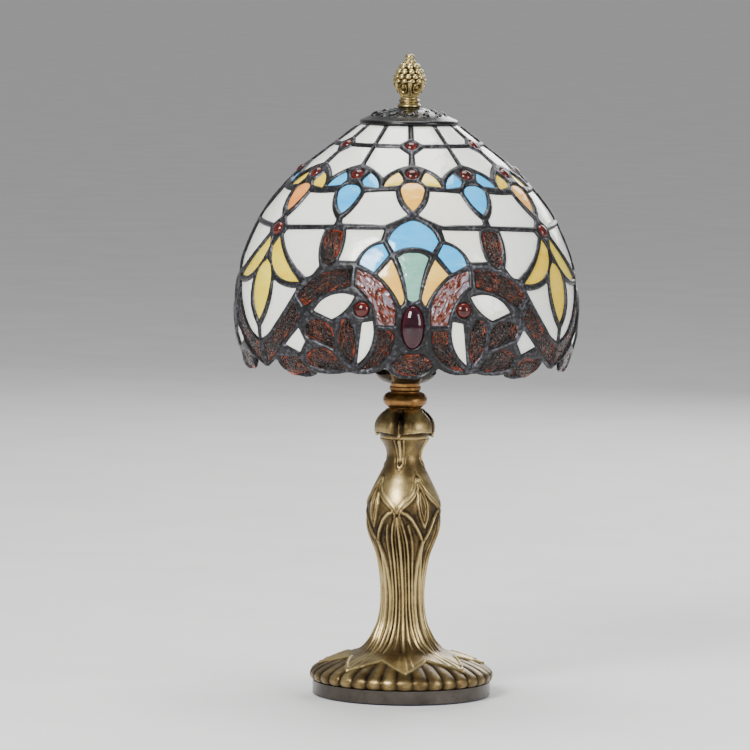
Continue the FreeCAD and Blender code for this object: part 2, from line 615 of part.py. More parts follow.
def place(shape, paired):
    """Copies of a shape in every repeat, with its mirror image if it is one of a pair."""
    images = [shape, mirrored(shape)] if paired else [shape]
    return [turned(image, 120.0 * turn) for turn in range(REPEATS) for image in images]


windows = []             # every opening of the half repeat, as steps
glass = {}               # node name: solids


def add_glass(name, steps, paired=True):
    """Cut a window and put its glass in every repeat."""
    windows.append(steps)
    glass.setdefault(name, [])
    glass[name] += place(pane(steps), paired)


for node, outlines in PANES.items():
    for points in outlines:
        add_glass(node, outline(points))
for middle, down, kind in ((0, 0.0, "gold"), (30, 1.2, "blue"), (60, 2.6, "gold")):
    for side in (-1, 1):
        if not 0 < middle + side * 8 < HALF:
            continue
        add_glass(kind + "_petals", outline(shifted(PETAL, middle, down, side)))
for middle, down, kind in ((0, 0.0, "gold"), (30, 2.6, "blue"), (60, 3.4, "gold")):
    add_glass(kind + "_drops", outline(shifted(whole(DROP, 0), middle, down)), middle == 30)
add_glass("crest_glass", outline(whole(CREST, 0)), False)
add_glass("heart_glass", outline(whole(HEART, 0)), False)
add_glass("keystone_glass", outline(whole(KEYSTONE, 0)), False)
add_glass("flame_middle_glass", outline(whole(FLAME_MIDDLE, HALF)), False)


def jewel(spec, sides=12):
    """Domed jewel: a flat back, a short wall and a faceted dome over the leading."""
    middle, s, half_width, half_height = spec
    dome = min(half_width, half_height) * 0.62
    rings = [(1.0, GLASS_INSET + 1.8), (1.0, 0.3), (0.84, -dome * 0.55), (0.5, -dome * 0.88)]
    facets = []
    loops = []
    for size, depth in rings:
        small = (middle, s, half_width * size - 0.05, half_height * size - 0.05)
        loops.append([on_shade(t, d, depth) for t, d in ellipse(small, sides)])
    apex = on_shade(middle, s, -dome)
    back = on_shade(middle, s, rings[0][1])
    for k in range(sides):
        n = (k + 1) % sides
        facets.append([back, loops[0][k], loops[0][n]])
        for low, high in zip(loops[:-1], loops[1:]):
            facets.append([low[k], high[k], high[n]])
            facets.append([low[k], high[n], low[n]])
        facets.append([loops[-1][k], apex, loops[-1][n]])
    shape = Part.Shape()
    shape.makeShapeFromMesh(Mesh.Mesh(facets).Topology, 0.001)
    solid = Part.makeSolid(shape.Shells[0])
    if solid.Volume < 0:
        solid.reverse()
    return solid


for node, specs in (("red_cabochons", RED_CABOCHONS), ("eye_jewels", EYE_JEWELS),
                    ("oval_jewels", OVAL_JEWELS)):
    glass[node] = []
    for spec in specs:
        windows.append(ellipse(spec))
        glass[node] += place(jewel(spec), 0 < spec[0] < HALF)
for node, solids in glass.items():
    save_all(node, solids)

# leading of one half repeat, mirrored to a 120 degree section, then turned to three sections
edge_steps = outline(EDGE, closed=False)
top_steps = [(HALF - 6.0 * k, LEAD_TOP) for k in range(0, 10)]
region = flat_face(edge_steps + top_steps + [(0.0, LEAD_TOP)])
for steps in windows:
    region = region.cut(flat_face(steps))
half_triangles = skin(region)
other_half = [((-a[0], a[1]), (-c[0], c[1]), (-b[0], b[1])) for a, b, c in half_triangles]
for index, letter in enumerate("abc"):
    shifted_triangles = []
    for tri in half_triangles + other_half:
        shifted_triangles.append(tuple((round(t + 120.0 * index, 4), s) for t, s in tri))
    save("leading_" + letter, plate_from(shifted_triangles, 0.0, LEAD_T))
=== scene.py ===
import json
import math
import bpy
import numpy as np
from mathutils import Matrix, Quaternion, Vector, kdtree


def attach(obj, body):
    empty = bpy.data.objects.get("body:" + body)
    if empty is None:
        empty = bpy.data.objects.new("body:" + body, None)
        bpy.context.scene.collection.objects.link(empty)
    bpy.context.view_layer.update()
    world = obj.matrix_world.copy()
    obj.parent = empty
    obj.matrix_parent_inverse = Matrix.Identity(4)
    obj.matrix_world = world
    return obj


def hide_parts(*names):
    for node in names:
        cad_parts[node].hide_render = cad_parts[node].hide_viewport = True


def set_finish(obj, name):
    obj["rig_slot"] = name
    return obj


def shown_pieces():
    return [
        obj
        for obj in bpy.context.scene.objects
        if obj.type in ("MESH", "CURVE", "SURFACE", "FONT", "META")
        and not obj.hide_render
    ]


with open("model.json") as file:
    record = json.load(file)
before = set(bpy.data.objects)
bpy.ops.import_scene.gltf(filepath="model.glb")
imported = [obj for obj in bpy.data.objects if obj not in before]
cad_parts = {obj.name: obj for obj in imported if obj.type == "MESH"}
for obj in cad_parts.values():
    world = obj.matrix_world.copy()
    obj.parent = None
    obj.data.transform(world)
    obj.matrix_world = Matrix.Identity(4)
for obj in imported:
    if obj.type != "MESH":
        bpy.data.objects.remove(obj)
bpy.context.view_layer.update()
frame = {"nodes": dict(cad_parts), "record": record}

SLOT_OF = {item["node"]: item["material_slot"] for item in frame["record"]["subparts"]}
MM = 0.001
FAR = 99.0  # stands for a distance past everything near, in mm
RADIAN = math.radians(1)

# meridian of the shade's outside, in millimetres
TOP_R = 27.0
TOP_Z = 335.2
CONE_LEN = 38.0
CONE_DROP = math.radians(37.5)
BELLY_RADIUS = 110.0
SKIRT_RADIUS = 75.0
GLASS_OUT = 0.5  # depth of the glass face below the outside of the leading
GLASS_IN = 2.7
SECTION = 120  # degrees of one repeat

QUARTER = math.pi / 2
CONE_END_R = TOP_R + CONE_LEN * math.cos(CONE_DROP)
CONE_END_Z = TOP_Z - CONE_LEN * math.sin(CONE_DROP)
BELLY_R0 = CONE_END_R - BELLY_RADIUS * math.sin(CONE_DROP)
BELLY_Z0 = CONE_END_Z - BELLY_RADIUS * math.cos(CONE_DROP)
BELLY_END = CONE_LEN + BELLY_RADIUS * (QUARTER - CONE_DROP)
SKIRT_R0 = BELLY_R0 + BELLY_RADIUS - SKIRT_RADIUS
SKIRT_Z0 = BELLY_Z0


def on_shade(deg, s, depth):
    """Points (n, 3) in mm on the shade: degrees from the front, s down the meridian, depth inward."""
    deg, s, depth = np.broadcast_arrays(np.asarray(deg, float), s, depth)
    slope = CONE_DROP + np.clip(s - CONE_LEN, 0, BELLY_END - CONE_LEN) / BELLY_RADIUS
    slope = slope + np.clip(s - BELLY_END, 0, None) / SKIRT_RADIUS
    cone = np.minimum(s, CONE_LEN)
    r = TOP_R + cone * math.cos(CONE_DROP)
    z = TOP_Z - cone * math.sin(CONE_DROP)
    belly = s > CONE_LEN
    r = np.where(belly, BELLY_R0 + BELLY_RADIUS * np.sin(slope), r)
    z = np.where(belly, BELLY_Z0 + BELLY_RADIUS * np.cos(slope), z)
    skirt = s > BELLY_END
    r = np.where(skirt, SKIRT_R0 + SKIRT_RADIUS * np.sin(slope), r)
    z = np.where(skirt, SKIRT_Z0 + SKIRT_RADIUS * np.cos(slope), z)
    r = r - depth * np.sin(slope)
    z = z - depth * np.cos(slope)
    a = np.radians(deg)
    return np.stack([r * np.sin(a), -r * np.cos(a), z], -1)


def off_shade(points):
    """The inverse of on_shade: degrees, s and depth of points in mm."""
    x, y, z = points.T
    r = np.hypot(x, y)
    deg = np.degrees(np.arctan2(x, -y))
    s = (r - TOP_R) * math.cos(CONE_DROP) - (z - TOP_Z) * math.sin(CONE_DROP)
    depth = -((r - TOP_R) * math.sin(CONE_DROP) + (z - TOP_Z) * math.cos(CONE_DROP))
    belly = s > CONE_LEN
    turn = np.arctan2(r - BELLY_R0, z - BELLY_Z0)
    s = np.where(belly, CONE_LEN + BELLY_RADIUS * (turn - CONE_DROP), s)
    depth = np.where(belly, BELLY_RADIUS - np.hypot(r - BELLY_R0, z - BELLY_Z0), depth)
    skirt = z < SKIRT_Z0
    turn = np.arctan2(r - SKIRT_R0, z - SKIRT_Z0)
    s = np.where(skirt, BELLY_END + SKIRT_RADIUS * (turn - QUARTER), s)
    depth = np.where(skirt, SKIRT_RADIUS - np.hypot(r - SKIRT_R0, z - SKIRT_Z0), depth)
    return deg, s, depth


def radius_at(s):
    """Radius of the shade at s, in mm."""
    return -on_shade(0.0, s, 0.0)[..., 1]


def held(x):
    """Values held between 0 and 1."""
    return np.clip(x, 0, 1)


def degree_width(s):
    """Length in mm of one degree round the shade at s."""
    return RADIAN * float(radius_at(s))


def beside(deg, start):
    """Angles moved by whole turns to within half a turn of a start."""
    return start + (deg - start + 180) % 360 - 180


# ---- reading the CAD pieces ----
def arrays(node):
    """Welded vertices in mm and triangles of a CAD node."""
    mesh = frame["nodes"][node].data
    co = np.zeros(len(mesh.vertices) * 3)
    mesh.vertices.foreach_get("co", co)
    mesh.calc_loop_triangles()
    tri = np.zeros(len(mesh.loop_triangles) * 3, np.int64)
    mesh.loop_triangles.foreach_get("vertices", tri)
    points, index = np.unique(np.round(co.reshape(-1, 3) / MM, 3), axis=0, return_inverse=True)
    tri = index.reshape(-1)[tri].reshape(-1, 3)
    keep = (tri[:, 0] != tri[:, 1]) & (tri[:, 1] != tri[:, 2]) & (tri[:, 0] != tri[:, 2])
    return points, tri[keep]


def rims(node, depth_limit):
    """Closed outlines (degrees, s) of the outer faces of every piece in a node."""
    points, tri = arrays(node)
    deg, s, depth = off_shade(points)
    face = tri[(depth[tri] < depth_limit).all(1)]
    edges = np.concatenate([face[:, [0, 1]], face[:, [1, 2]], face[:, [2, 0]]])
    known = set(map(tuple, edges.tolist()))
    step = {a: b for a, b in known if (b, a) not in known}
    loops = []
    while step:
        start, here = next(iter(step.items()))
        chain = [start]
        del step[start]
        while here != start and here in step:
            chain.append(here)
            here = step.pop(here)
        if len(chain) > 3:
            turn = deg[chain]
            loops.append(np.stack([beside(turn, turn[0]), s[chain]], 1))
    return loops


def smooth(loop, spacing=0.5, corner=38.0, closed=True):
    """Fine outline through the points of a coarse one, keeping corners sharper than some degrees."""
    same_point = 0.02
    scale = degree_width(loop[:, 1].mean())
    p = loop * [scale, 1.0]
    gap = np.linalg.norm(np.roll(p, -1, 0) - p, axis=1)
    p = p[gap > same_point]
    n = len(p)
    ahead = np.roll(p, -1, 0) - p
    length = np.linalg.norm(ahead, axis=1)
    unit = ahead / length[:, None]
    back = np.roll(unit, 1, 0)
    turn = np.degrees(np.arccos(np.clip((unit * back).sum(1), -1, 1)))
    sharp = turn > corner
    if not closed:
        sharp[[0, -1]] = True
    mean = back * length[:, None] + unit * np.roll(length, 1)[:, None]
    mean = mean / (np.linalg.norm(mean, axis=1)[:, None] + 1e-9)
    out = []
    for i in range(n if closed else n - 1):
        j = (i + 1) % n
        t0 = unit[i] if sharp[i] else mean[i]
        t1 = unit[i] if sharp[j] else mean[j]
        steps = max(1, int(math.ceil(length[i] / spacing)))
        for k in range(steps):
            u = k / steps
            h00 = 2 * u**3 - 3 * u**2 + 1
            h10 = u**3 - 2 * u**2 + u
            h01 = -2 * u**3 + 3 * u**2
            h11 = u**3 - u**2
            out.append(h00 * p[i] + h01 * p[j] + length[i] * (h10 * t0 + h11 * t1))
    if not closed:
        out.append(p[-1])
    return np.array(out) / [scale, 1.0]


def parity(loops, degs, rows):
    """Grid (rows, degs) of booleans: inside any of the loops."""
    count = np.zeros((len(rows), len(degs) + 1), np.int32)
    for loop in loops:
        after = np.roll(loop, -1, 0)
        for (t0, s0), (t1, s1) in zip(loop, after):
            if s0 == s1:
                continue
            low, high = (s0, s1) if s0 < s1 else (s1, s0)
            first = np.searchsorted(rows, low)
            last = np.searchsorted(rows, high)
            for k in range(first, last):
                cross = t0 + (rows[k] - s0) / (s1 - s0) * (t1 - t0)
                count[k, np.searchsorted(degs, cross)] += 1
    return (np.cumsum(count, 1)[:, :-1] % 2) == 1


def denser(loop, parts=4):
    """A closed loop with each step divided into equal parts."""
    step = np.roll(loop, -1, 0) - loop
    share = np.arange(parts)[None, :, None] / parts
    return (loop[:, None, :] + step[:, None, :] * share).reshape(-1, 2)


def near(samples, queries):
    """Distance from each query to the nearest sample, and its index."""
    tree = kdtree.KDTree(len(samples))
    for i, p in enumerate(samples):
        tree.insert(p, i)
    tree.balance()
    found = [tree.find(q) for q in queries]
    return np.array([d for _, _, d in found]), np.array([k for _, k, _ in found])


# ---- building meshes ----
def mesh_piece(name, node, body, points, faces, attributes):
    """Shown piece for a CAD node, from points in mm. A triangle repeats its last corner."""
    used, index = np.unique(faces.reshape(-1), return_inverse=True)
    faces = index.reshape(-1, 4)
    points = points[used]
    corners = [f[:3].tolist() if f[3] == f[2] else f.tolist() for f in faces]
    mesh = bpy.data.meshes.new(name)
    mesh.from_pydata((points * MM).tolist(), [], corners)
    for key, values in attributes.items():
        kind, field = ("FLOAT", "value") if values.ndim == 1 else ("FLOAT_VECTOR", "vector")
        layer = mesh.attributes.new(key, kind, "POINT")
        layer.data.foreach_set(field, np.ascontiguousarray(values[used], np.float32).reshape(-1))
    mesh.polygons.foreach_set("use_smooth", [True] * len(mesh.polygons))
    mesh.update()
    obj = bpy.data.objects.new(name, mesh)
    bpy.context.scene.collection.objects.link(obj)
    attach(obj, body)
    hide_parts(node)
    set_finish(obj, SLOT_OF[node])


def joined(parts):
    """Several (points, faces, values...) as one, with the faces renumbered."""
    starts = np.cumsum([0] + [len(points) for points, *_ in parts])
    moved = [(points, faces + start, *rest) for (points, faces, *rest), start in zip(parts, starts)]
    return [np.concatenate(column) for column in zip(*moved)]


def grid_faces(active, corners=4):
    """Cells of a (rows, columns) grid with at least so many active corners, as vertex numbers."""
    rows, cols = active.shape
    number = np.arange(rows * cols).reshape(rows, cols)
    a, b = number[:-1, :-1], number[:-1, 1:]
    c, d = number[1:, 1:], number[1:, :-1]
    count = active.astype(int)
    full = count[:-1, :-1] + count[:-1, 1:] + count[1:, 1:] + count[1:, :-1] >= corners
    return np.stack([a[full], d[full], c[full], b[full]], 1)


def close_plate(outer, inner, faces):
    """Points and faces of a closed plate from matching outer and inner points."""
    count = len(outer)
    back = faces[:, ::-1] + count
    edges = np.concatenate([faces[:, [k, (k + 1) % 4]] for k in range(4)])
    key = edges[:, 0] * (count + 1) + edges[:, 1]
    twin = edges[:, 1] * (count + 1) + edges[:, 0]
    rim = edges[~np.isin(key, twin)]
    wall = np.stack([rim[:, 1], rim[:, 0], rim[:, 0] + count, rim[:, 1] + count], 1)
    return np.concatenate([outer, inner]), np.concatenate([faces, back, wall])


def waves(points, scale, seed, octaves=3):
    """Smooth noise in about -1..1 at points in mm: sums of turned sine waves."""
    rng = np.random.RandomState(seed)
    total = np.zeros(len(points))
    weight = 0.0
    for octave in range(octaves):
        for _ in range(5):
            way = rng.normal(size=3)
            way = way / np.linalg.norm(way) * (2 * math.pi / scale) * (0.7 + 0.6 * rng.rand())
            bend = rng.normal(size=3) * 2 * math.pi / (scale * 2.3)
            phase = rng.rand(2) * 2 * math.pi
            share = 0.5 ** octave
            total += share * np.sin(points @ way + phase[0] + 1.4 * np.sin(points @ bend + phase[1]))
            weight += share
        scale = scale / 2.1
    return total / weight * 2.2


# ---- outlines of the glass and jewels, from the CAD ----
# grid spacing in mm, kind of surface, and the glass nodes that have them
GLASS = (
    (1.3, "plain", ("crown_glass", "collar_glass", "shoulder_glass", "field_glass", "wing_glass")),
    (0.9, "plain", ("white_accents", "gold_petals", "gold_drops", "blue_petals", "blue_drops")),
    (1.0, "plain", ("crest_glass", "fan_side_glass")),
    (0.9, "plain", ("fan_amber_glass", "heart_glass", "flame_side_glass", "flame_middle_glass")),
    (0.55, "ripple", ("teardrop_glass",)),
    (0.55, "streaky", ("streaky_glass",)),
    (0.6, "ripple", ("band_upper_glass", "band_lower_glass", "leaf_glass")),
    (0.5, "ripple", ("keystone_glass",)),
)
# how high the dome of a jewel stands, as a share of its smaller half width
JEWEL_RISE = {"red_cabochons": 0.75, "eye_jewels": 0.8, "oval_jewels": 0.72}
MIDDLE_DEPTH = (GLASS_OUT + GLASS_IN) / 2


def islands(tri):
    """Groups of vertices that triangles join."""
    links = {}
    for corners in tri.tolist():
        for corner in corners:
            links.setdefault(corner, set()).update(corners)
    groups = []
    todo = set(links)
    for start in sorted(links):
        if start in todo:
            todo.discard(start)
            group = [start]
            for here in group:
                fresh = links[here] & todo
                todo -= fresh
                group += sorted(fresh)
            groups.append(group)
    return groups


def jewel_specs(node):
    """Middle, half width and half height of each jewel in a node."""
    points, tri = arrays(node)
    deg, s, _ = off_shade(points)
    specs = []
    for member in islands(tri):
        t = beside(deg[member], deg[member[0]])
        t_mid = (t.min() + t.max()) / 2
        s_mid = (s[member].min() + s[member].max()) / 2
        half_w = (t.max() - t.min()) / 2 * RADIAN * radius_at(s_mid)
        half_h = (s[member].max() - s[member].min()) / 2
        specs.append((t_mid, s_mid, float(half_w), float(half_h)))
    return specs


def oval(spec, count, grow=0.0, share=1.0):
    """Outline of a jewel as (degrees, s), grown by some mm and then scaled."""
    deg, s, half_w, half_h = spec
    turn = np.arange(count) * 2 * math.pi / count
    wide = (half_w + grow) * share
    tall = (half_h + grow) * share
    return np.stack([deg + wide * np.sin(turn) / degree_width(s), s - tall * np.cos(turn)], 1)


panes = {node: [smooth(loop) for loop in rims(node, MIDDLE_DEPTH)]
         for _, _, nodes in GLASS for node in nodes}
jewels = {node: jewel_specs(node) for node in JEWEL_RISE}
windows = [loop for loops in panes.values() for loop in loops]
windows += [oval(spec, 72) for specs in jewels.values() for spec in specs]

# ---- leading: raised solder beads between the windows ----
BEAD_HALF = 1.7  # distance from a window at which a bead is at its full height
BEAD_HEIGHT = 1.25  # height of the crown over the glass face
BEAD_FOOT = 1.1  # slope of the bead inside a window
SLIM = 0.06  # how far the solder stops short of a window's edge
UNDER = 0.75  # how far the bead's foot runs on below the glass face
INNER_SHARE = 0.8  # height of the inside beads as a share of the outside ones'
EDGE_ROUND = 1.5  # reach of the rounding over the lower edge
SNAP = 0.36  # grid points this near the lower edge are moved onto it
SEAT_S = 3.0  # how far down the meridian the vase cap's seat reaches
SEAT_BLEND = 1.5
SEAT_DEPTH = 0.1
STEP_S = 0.6
STEP_DEG = 0.36
FIRST_DEG = -SECTION / 2
LAST_DEG = FIRST_DEG + 360
EDGE_FROM_S = 150  # the lower edge lies between these
EDGE_TO_S = 175.0


def bead(d):
    """Height of solder over the glass face, d mm outside the nearest window."""
    rise = np.sin(held(d / BEAD_HALF) * QUARTER)
    return np.where(d > 0, BEAD_HEIGHT * rise, BEAD_FOOT * d)


def lower_edge():
    """The leading's lower edge over one section, as an open outline."""
    outer_faces = 1.0
    on_seam = 0.01
    ring = max(rims("leading_a", outer_faces), key=lambda loop: loop[:, 1].max())
    after = np.roll(ring, -1, 0)
    off_seam = [np.abs(np.abs(part[:, 0]) - SECTION / 2) for part in (ring, after)]
    seam = (off_seam[0] < on_seam) & (off_seam[1] < on_seam)
    seam &= np.sign(ring[:, 0]) == np.sign(after[:, 0])
    start = np.flatnonzero(seam)[-1]
    ring = np.roll(ring, -(start + 1), 0)
    seam = np.roll(seam, -(start + 1))
    chains = np.split(ring, np.flatnonzero(seam[:-1]) + 1)
    best = max(chains, key=lambda c: c[:, 1].max())
    return best if best[0, 0] < best[-1, 0] else best[::-1]


rows = np.arange(off_shade(arrays("leading_a")[0])[1].min(), EDGE_TO_S, STEP_S)
degs = np.arange(FIRST_DEG, LAST_DEG - 1e-6, STEP_DEG)
per_section = int(round(SECTION / STEP_DEG))
shape = (len(rows), len(degs))
deg_grid, s_grid = np.meshgrid(degs, rows)
flat_deg, flat_s = deg_grid.reshape(-1), s_grid.reshape(-1)
surface = on_shade(flat_deg, flat_s, 0.0)

turned = []
for loop in windows:
    middle = loop[:, 0].mean()
    turned.append(loop + [(middle - FIRST_DEG) % 360 + FIRST_DEG - middle, 0])
wrapped = turned + [w + [360, 0] for w in turned if w[:, 0].min() < FIRST_DEG]
wrapped += [w - [360, 0] for w in turned if w[:, 0].max() > LAST_DEG]
in_window = parity(wrapped, degs, rows)
fine = np.concatenate([denser(loop) for loop in turned])
dist, _ = near(on_shade(fine[:, 0], fine[:, 1], 0.0), surface)
signed = np.where(in_window.reshape(-1), -dist, dist)

# the lower edge: grid points near it are moved onto it, and the bead is rounded over it
edge = smooth(lower_edge(), closed=False)
edge_order = np.argsort(edge[:, 0])
edge_samples = np.concatenate([on_shade(edge[:, 0] + SECTION * k, edge[:, 1], 0.0) for k in range(3)])
limit_at = np.interp((degs - FIRST_DEG) % SECTION + FIRST_DEG, edge[edge_order, 0], edge[edge_order, 1])
outside = s_grid > limit_at
low = flat_s > EDGE_FROM_S
edge_dist = np.full(len(flat_s), FAR)
edge_which = np.zeros(len(flat_s), np.int64)
edge_dist[low], edge_which[low] = near(edge_samples, surface[low])
edge_signed = np.where(outside.reshape(-1), -edge_dist, edge_dist)
snap = np.abs(edge_signed) < SNAP
edge_deg, edge_s, _ = off_shade(edge_samples)
seam_column = np.abs((flat_deg - FIRST_DEG) % SECTION) < 1e-6
flat_deg = np.where(snap & ~seam_column, beside(edge_deg[edge_which], flat_deg), flat_deg)
flat_s = np.where(snap, edge_s[edge_which], flat_s)
edge_signed = np.where(snap, 0.0, edge_signed)
active = (signed > -UNDER) & (edge_signed >= 0)

noise = waves(surface, 7.0, 3) * 0.10 + waves(surface, 2.6, 5, 2) * 0.05
height = bead(signed - SLIM) + np.where(signed > 0, noise * held(signed), 0)
round_off = np.sqrt(1 - (1 - held(edge_signed / EDGE_ROUND)) ** 2)
outer_depth = MIDDLE_DEPTH + (GLASS_OUT - height - MIDDLE_DEPTH) * round_off
inner_depth = MIDDLE_DEPTH + (GLASS_IN + INNER_SHARE * height - MIDDLE_DEPTH) * round_off
# under the vase cap the crown stays below the cap's seat
clear = np.clip((s_grid.reshape(-1) - SEAT_S) / SEAT_BLEND, 0, 1)
outer_depth = np.maximum(outer_depth, SEAT_DEPTH * (1 - clear) + outer_depth * clear)
outer_points = on_shade(flat_deg, flat_s, outer_depth)
inner_points = on_shade(flat_deg, flat_s, inner_depth)
for k, letter in enumerate("abc"):
    columns = np.arange(k * per_section, (k + 1) * per_section + 1) % len(degs)
    pick = (np.arange(len(rows))[:, None] * len(degs) + columns[None, :]).reshape(-1)
    cells = grid_faces(active.reshape(shape)[:, columns])
    points, faces = close_plate(outer_points[pick], inner_points[pick], cells)
    mesh_piece("leading_" + letter + "_beads", "leading_" + letter, "shade", points, faces, {})


# ---- glass panes ----
TUCK = 0.6  # how far a pane runs on under the beads
REACH = 0.35  # grid points this far outside the outline still carry a cell
MARGIN = 1.5  # how far the grid runs on past the outline
PILLOW = 0.25  # rise of a pane's middle over its edge
RIPPLE = 0.22  # height of the ripples on drawn glass
# drawn glass: scale of the coordinates along the grain, which draws the waves out, and their seed
DRAWN = {"ripple": (0.4, 11), "streaky": (0.3, 12)}


def glass_pane(loop, spacing, seed, kind):
    """Closed plate for one pane that runs a little way under the beads, with its attributes."""
    rng = np.random.RandomState(seed)
    middle = loop.mean(0)
    scale = degree_width(middle[1])
    low = loop.min(0) - [MARGIN / scale, MARGIN]
    high = loop.max(0) + [MARGIN / scale, MARGIN]
    cols = np.arange(low[0], high[0] + spacing / scale, spacing / scale)
    lines = np.arange(low[1], high[1] + spacing, spacing)
    inside = parity([loop], cols, lines).reshape(-1)
    t_grid, s_flat = np.meshgrid(cols, lines)
    t, s = t_grid.reshape(-1), s_flat.reshape(-1)
    flat = np.stack([(t - middle[0]) * scale, s - middle[1]], 1)
    rim = (denser(loop) - middle) * [scale, 1.0]
    gap, nearest = near(np.c_[rim, np.zeros(len(rim))], np.c_[flat, np.zeros(len(flat))])
    d = np.where(inside, gap, -gap)
    cells = grid_faces((d > -REACH).reshape(t_grid.shape), 1)
    # points beyond the pane are drawn in to a smooth line under the beads
    far = d < -TUCK
    away = flat[far] - rim[nearest[far]]
    flat[far] = rim[nearest[far]] + away * (TUCK / np.linalg.norm(away, axis=1))[:, None]
    d = np.maximum(d, -TUCK)
    t, s = middle[0] + flat[:, 0] / scale, middle[1] + flat[:, 1]
    spread = np.cov(((loop - middle) * [scale, 1.0]).T)
    long_way = np.linalg.eigh(spread)[1][:, 1]
    turn = rng.uniform(-0.5, 0.5) if kind == "plain" else -math.atan2(long_way[1], long_way[0])
    grain = np.stack([flat[:, 0] * math.cos(turn) - flat[:, 1] * math.sin(turn),
                      flat[:, 0] * math.sin(turn) + flat[:, 1] * math.cos(turn),
                      np.full(len(flat), rng.uniform(0, 400))], 1)
    if kind == "plain":
        bump = 0.06 * waves(on_shade(t, s, 0.0) + seed, 14.0, 13, 2)
    else:
        drawn_out, wave_seed = DRAWN[kind]
        bump = RIPPLE * waves(grain * [drawn_out, 1.0, 0.0] + [0, 0, seed], 2.0, wave_seed, 2)
    pillow = PILLOW * held(d / 4.0) ** 0.7
    calm = held(d / 0.8)
    outer = on_shade(t, s, GLASS_OUT - (bump + pillow) * calm)
    points, faces = close_plate(outer, on_shade(t, s, GLASS_IN), cells)
    return points, faces, np.concatenate([grain, grain]), np.concatenate([d, d])


# how deep the tone of a pane is, going round the shade in steps
TONE_STEP = 15.0
EVEN_TONES = (0.1, 0.32, 0.2, 0.05, 0.4, 0.15, 0.28)
TONES = {
    "gold_drops": (0.1, 0, 0, 0, 0.3, 0, 0, 0, 0.85, 0, 0, 0, 0.4, 0, 0, 0, 0.15, 0, 0, 0, 0.88, 0, 0, 0),
    "fan_amber_glass": (0.04, 0.1, 0.08),
    "flame_side_glass": (0.02, 0.0, 0.1, 0.3, 0.05, 0.0, 0.12),
    "flame_middle_glass": (0.0, 0.05, 0.1, 0.0, 0.2),
    "gold_petals": (0.0, 0.12, 0.02, 0.2, 0.06),
}


def glass_piece(node, spacing, kind):
    """One visible piece for all the panes of a CAD node."""
    shades = TONES.get(node, EVEN_TONES)
    parts = []
    for index, loop in enumerate(panes[node]):
        seed = len(node) * 131 + index * 17
        points, faces, grain, lip = glass_pane(loop, spacing, seed, kind)
        place = int(round(loop[:, 0].mean() / TONE_STEP)) % int(360 / TONE_STEP)
        tint = np.full(len(points), shades[place % len(shades)] + 0.12 * ((place * 7) % 5) / 5)
        parts.append((points, faces, grain, tint, lip))
    points, faces, grain, tint, lip = joined(parts)
    mesh_piece(node + "_panes", node, "shade", points, faces, {"grain": grain, "tint": tint, "lip": lip})


JEWEL_SEAT = 0.6  # depth of a jewel's girdle below the outside of the leading
JEWEL_BACK = 2.4
GIRDLE_GROW = 0.55  # how far the girdle and the back run on under the beads
BACK_GROW = 0.4
TURNS = 40
RINGS = 12


def jewel(spec, rise):
    """Closed mesh of one domed jewel, with 1 at its crown and 0 at its girdle."""
    deg, s, half_w, half_h = spec
    lift = rise * min(half_w, half_h)
    layers = [on_shade(deg, s, JEWEL_SEAT - lift)[None]]
    for ring in range(1, RINGS + 1):
        u = ring / RINGS * QUARTER
        outline = oval(spec, TURNS, GIRDLE_GROW, math.sin(u))
        layers.append(on_shade(*outline.T, JEWEL_SEAT - lift * math.cos(u)))
    layers.append(on_shade(*oval(spec, TURNS, BACK_GROW).T, JEWEL_BACK))
    layers.append(on_shade(deg, s, JEWEL_BACK + 0.1)[None])
    points = np.concatenate(layers)
    end = len(points) - 1
    last = 1 + RINGS * TURNS
    faces = []
    for k in range(TURNS):
        n = (k + 1) % TURNS
        faces.append([0, 1 + n, 1 + k, 1 + k])
        for a in range(1, last, TURNS):
            b = a + TURNS
            faces.append([a + k, a + n, b + n, b + k])
        faces.append([last + k, last + n, end, end])
    lips = [np.full(TURNS, 1.0 - k / RINGS) for k in range(1, RINGS + 1)]
    return points, np.array(faces), np.concatenate([[1.0], *lips, np.zeros(TURNS + 1)])


for spacing, kind, nodes in GLASS:
    for node in nodes:
        glass_piece(node, spacing, kind)
for node, rise in JEWEL_RISE.items():
    points, faces, lip = joined([jewel(spec, rise) for spec in jewels[node]])
    mesh_piece(node + "_domes", node, "shade", points, faces, {"lip": lip})


# ---- turned and cast pieces ----
def along(points, spacing):
    """Resample an open polyline of (r, z) at an even spacing."""
    points = np.asarray(points, float)
    length = np.r_[0, np.cumsum(np.hypot(*np.diff(points, axis=0).T))]
    count = int(length[-1] / spacing) + 1
    at = np.linspace(0, length[-1], count)
    return np.stack([np.interp(at, length, points[:, 0]), np.interp(at, length, points[:, 1])], 1)


def rounded(points, passes=2):
    """Corner cutting on an open polyline, keeping its ends."""
    points = np.asarray(points, float)
    for _ in range(passes):
        a = points[:-1] * 0.75 + points[1:] * 0.25
        b = points[:-1] * 0.25 + points[1:] * 0.75
        middle = np.stack([a, b], 1).reshape(-1, 2)
        points = np.concatenate([points[:1], middle, points[-1:]])
    return points


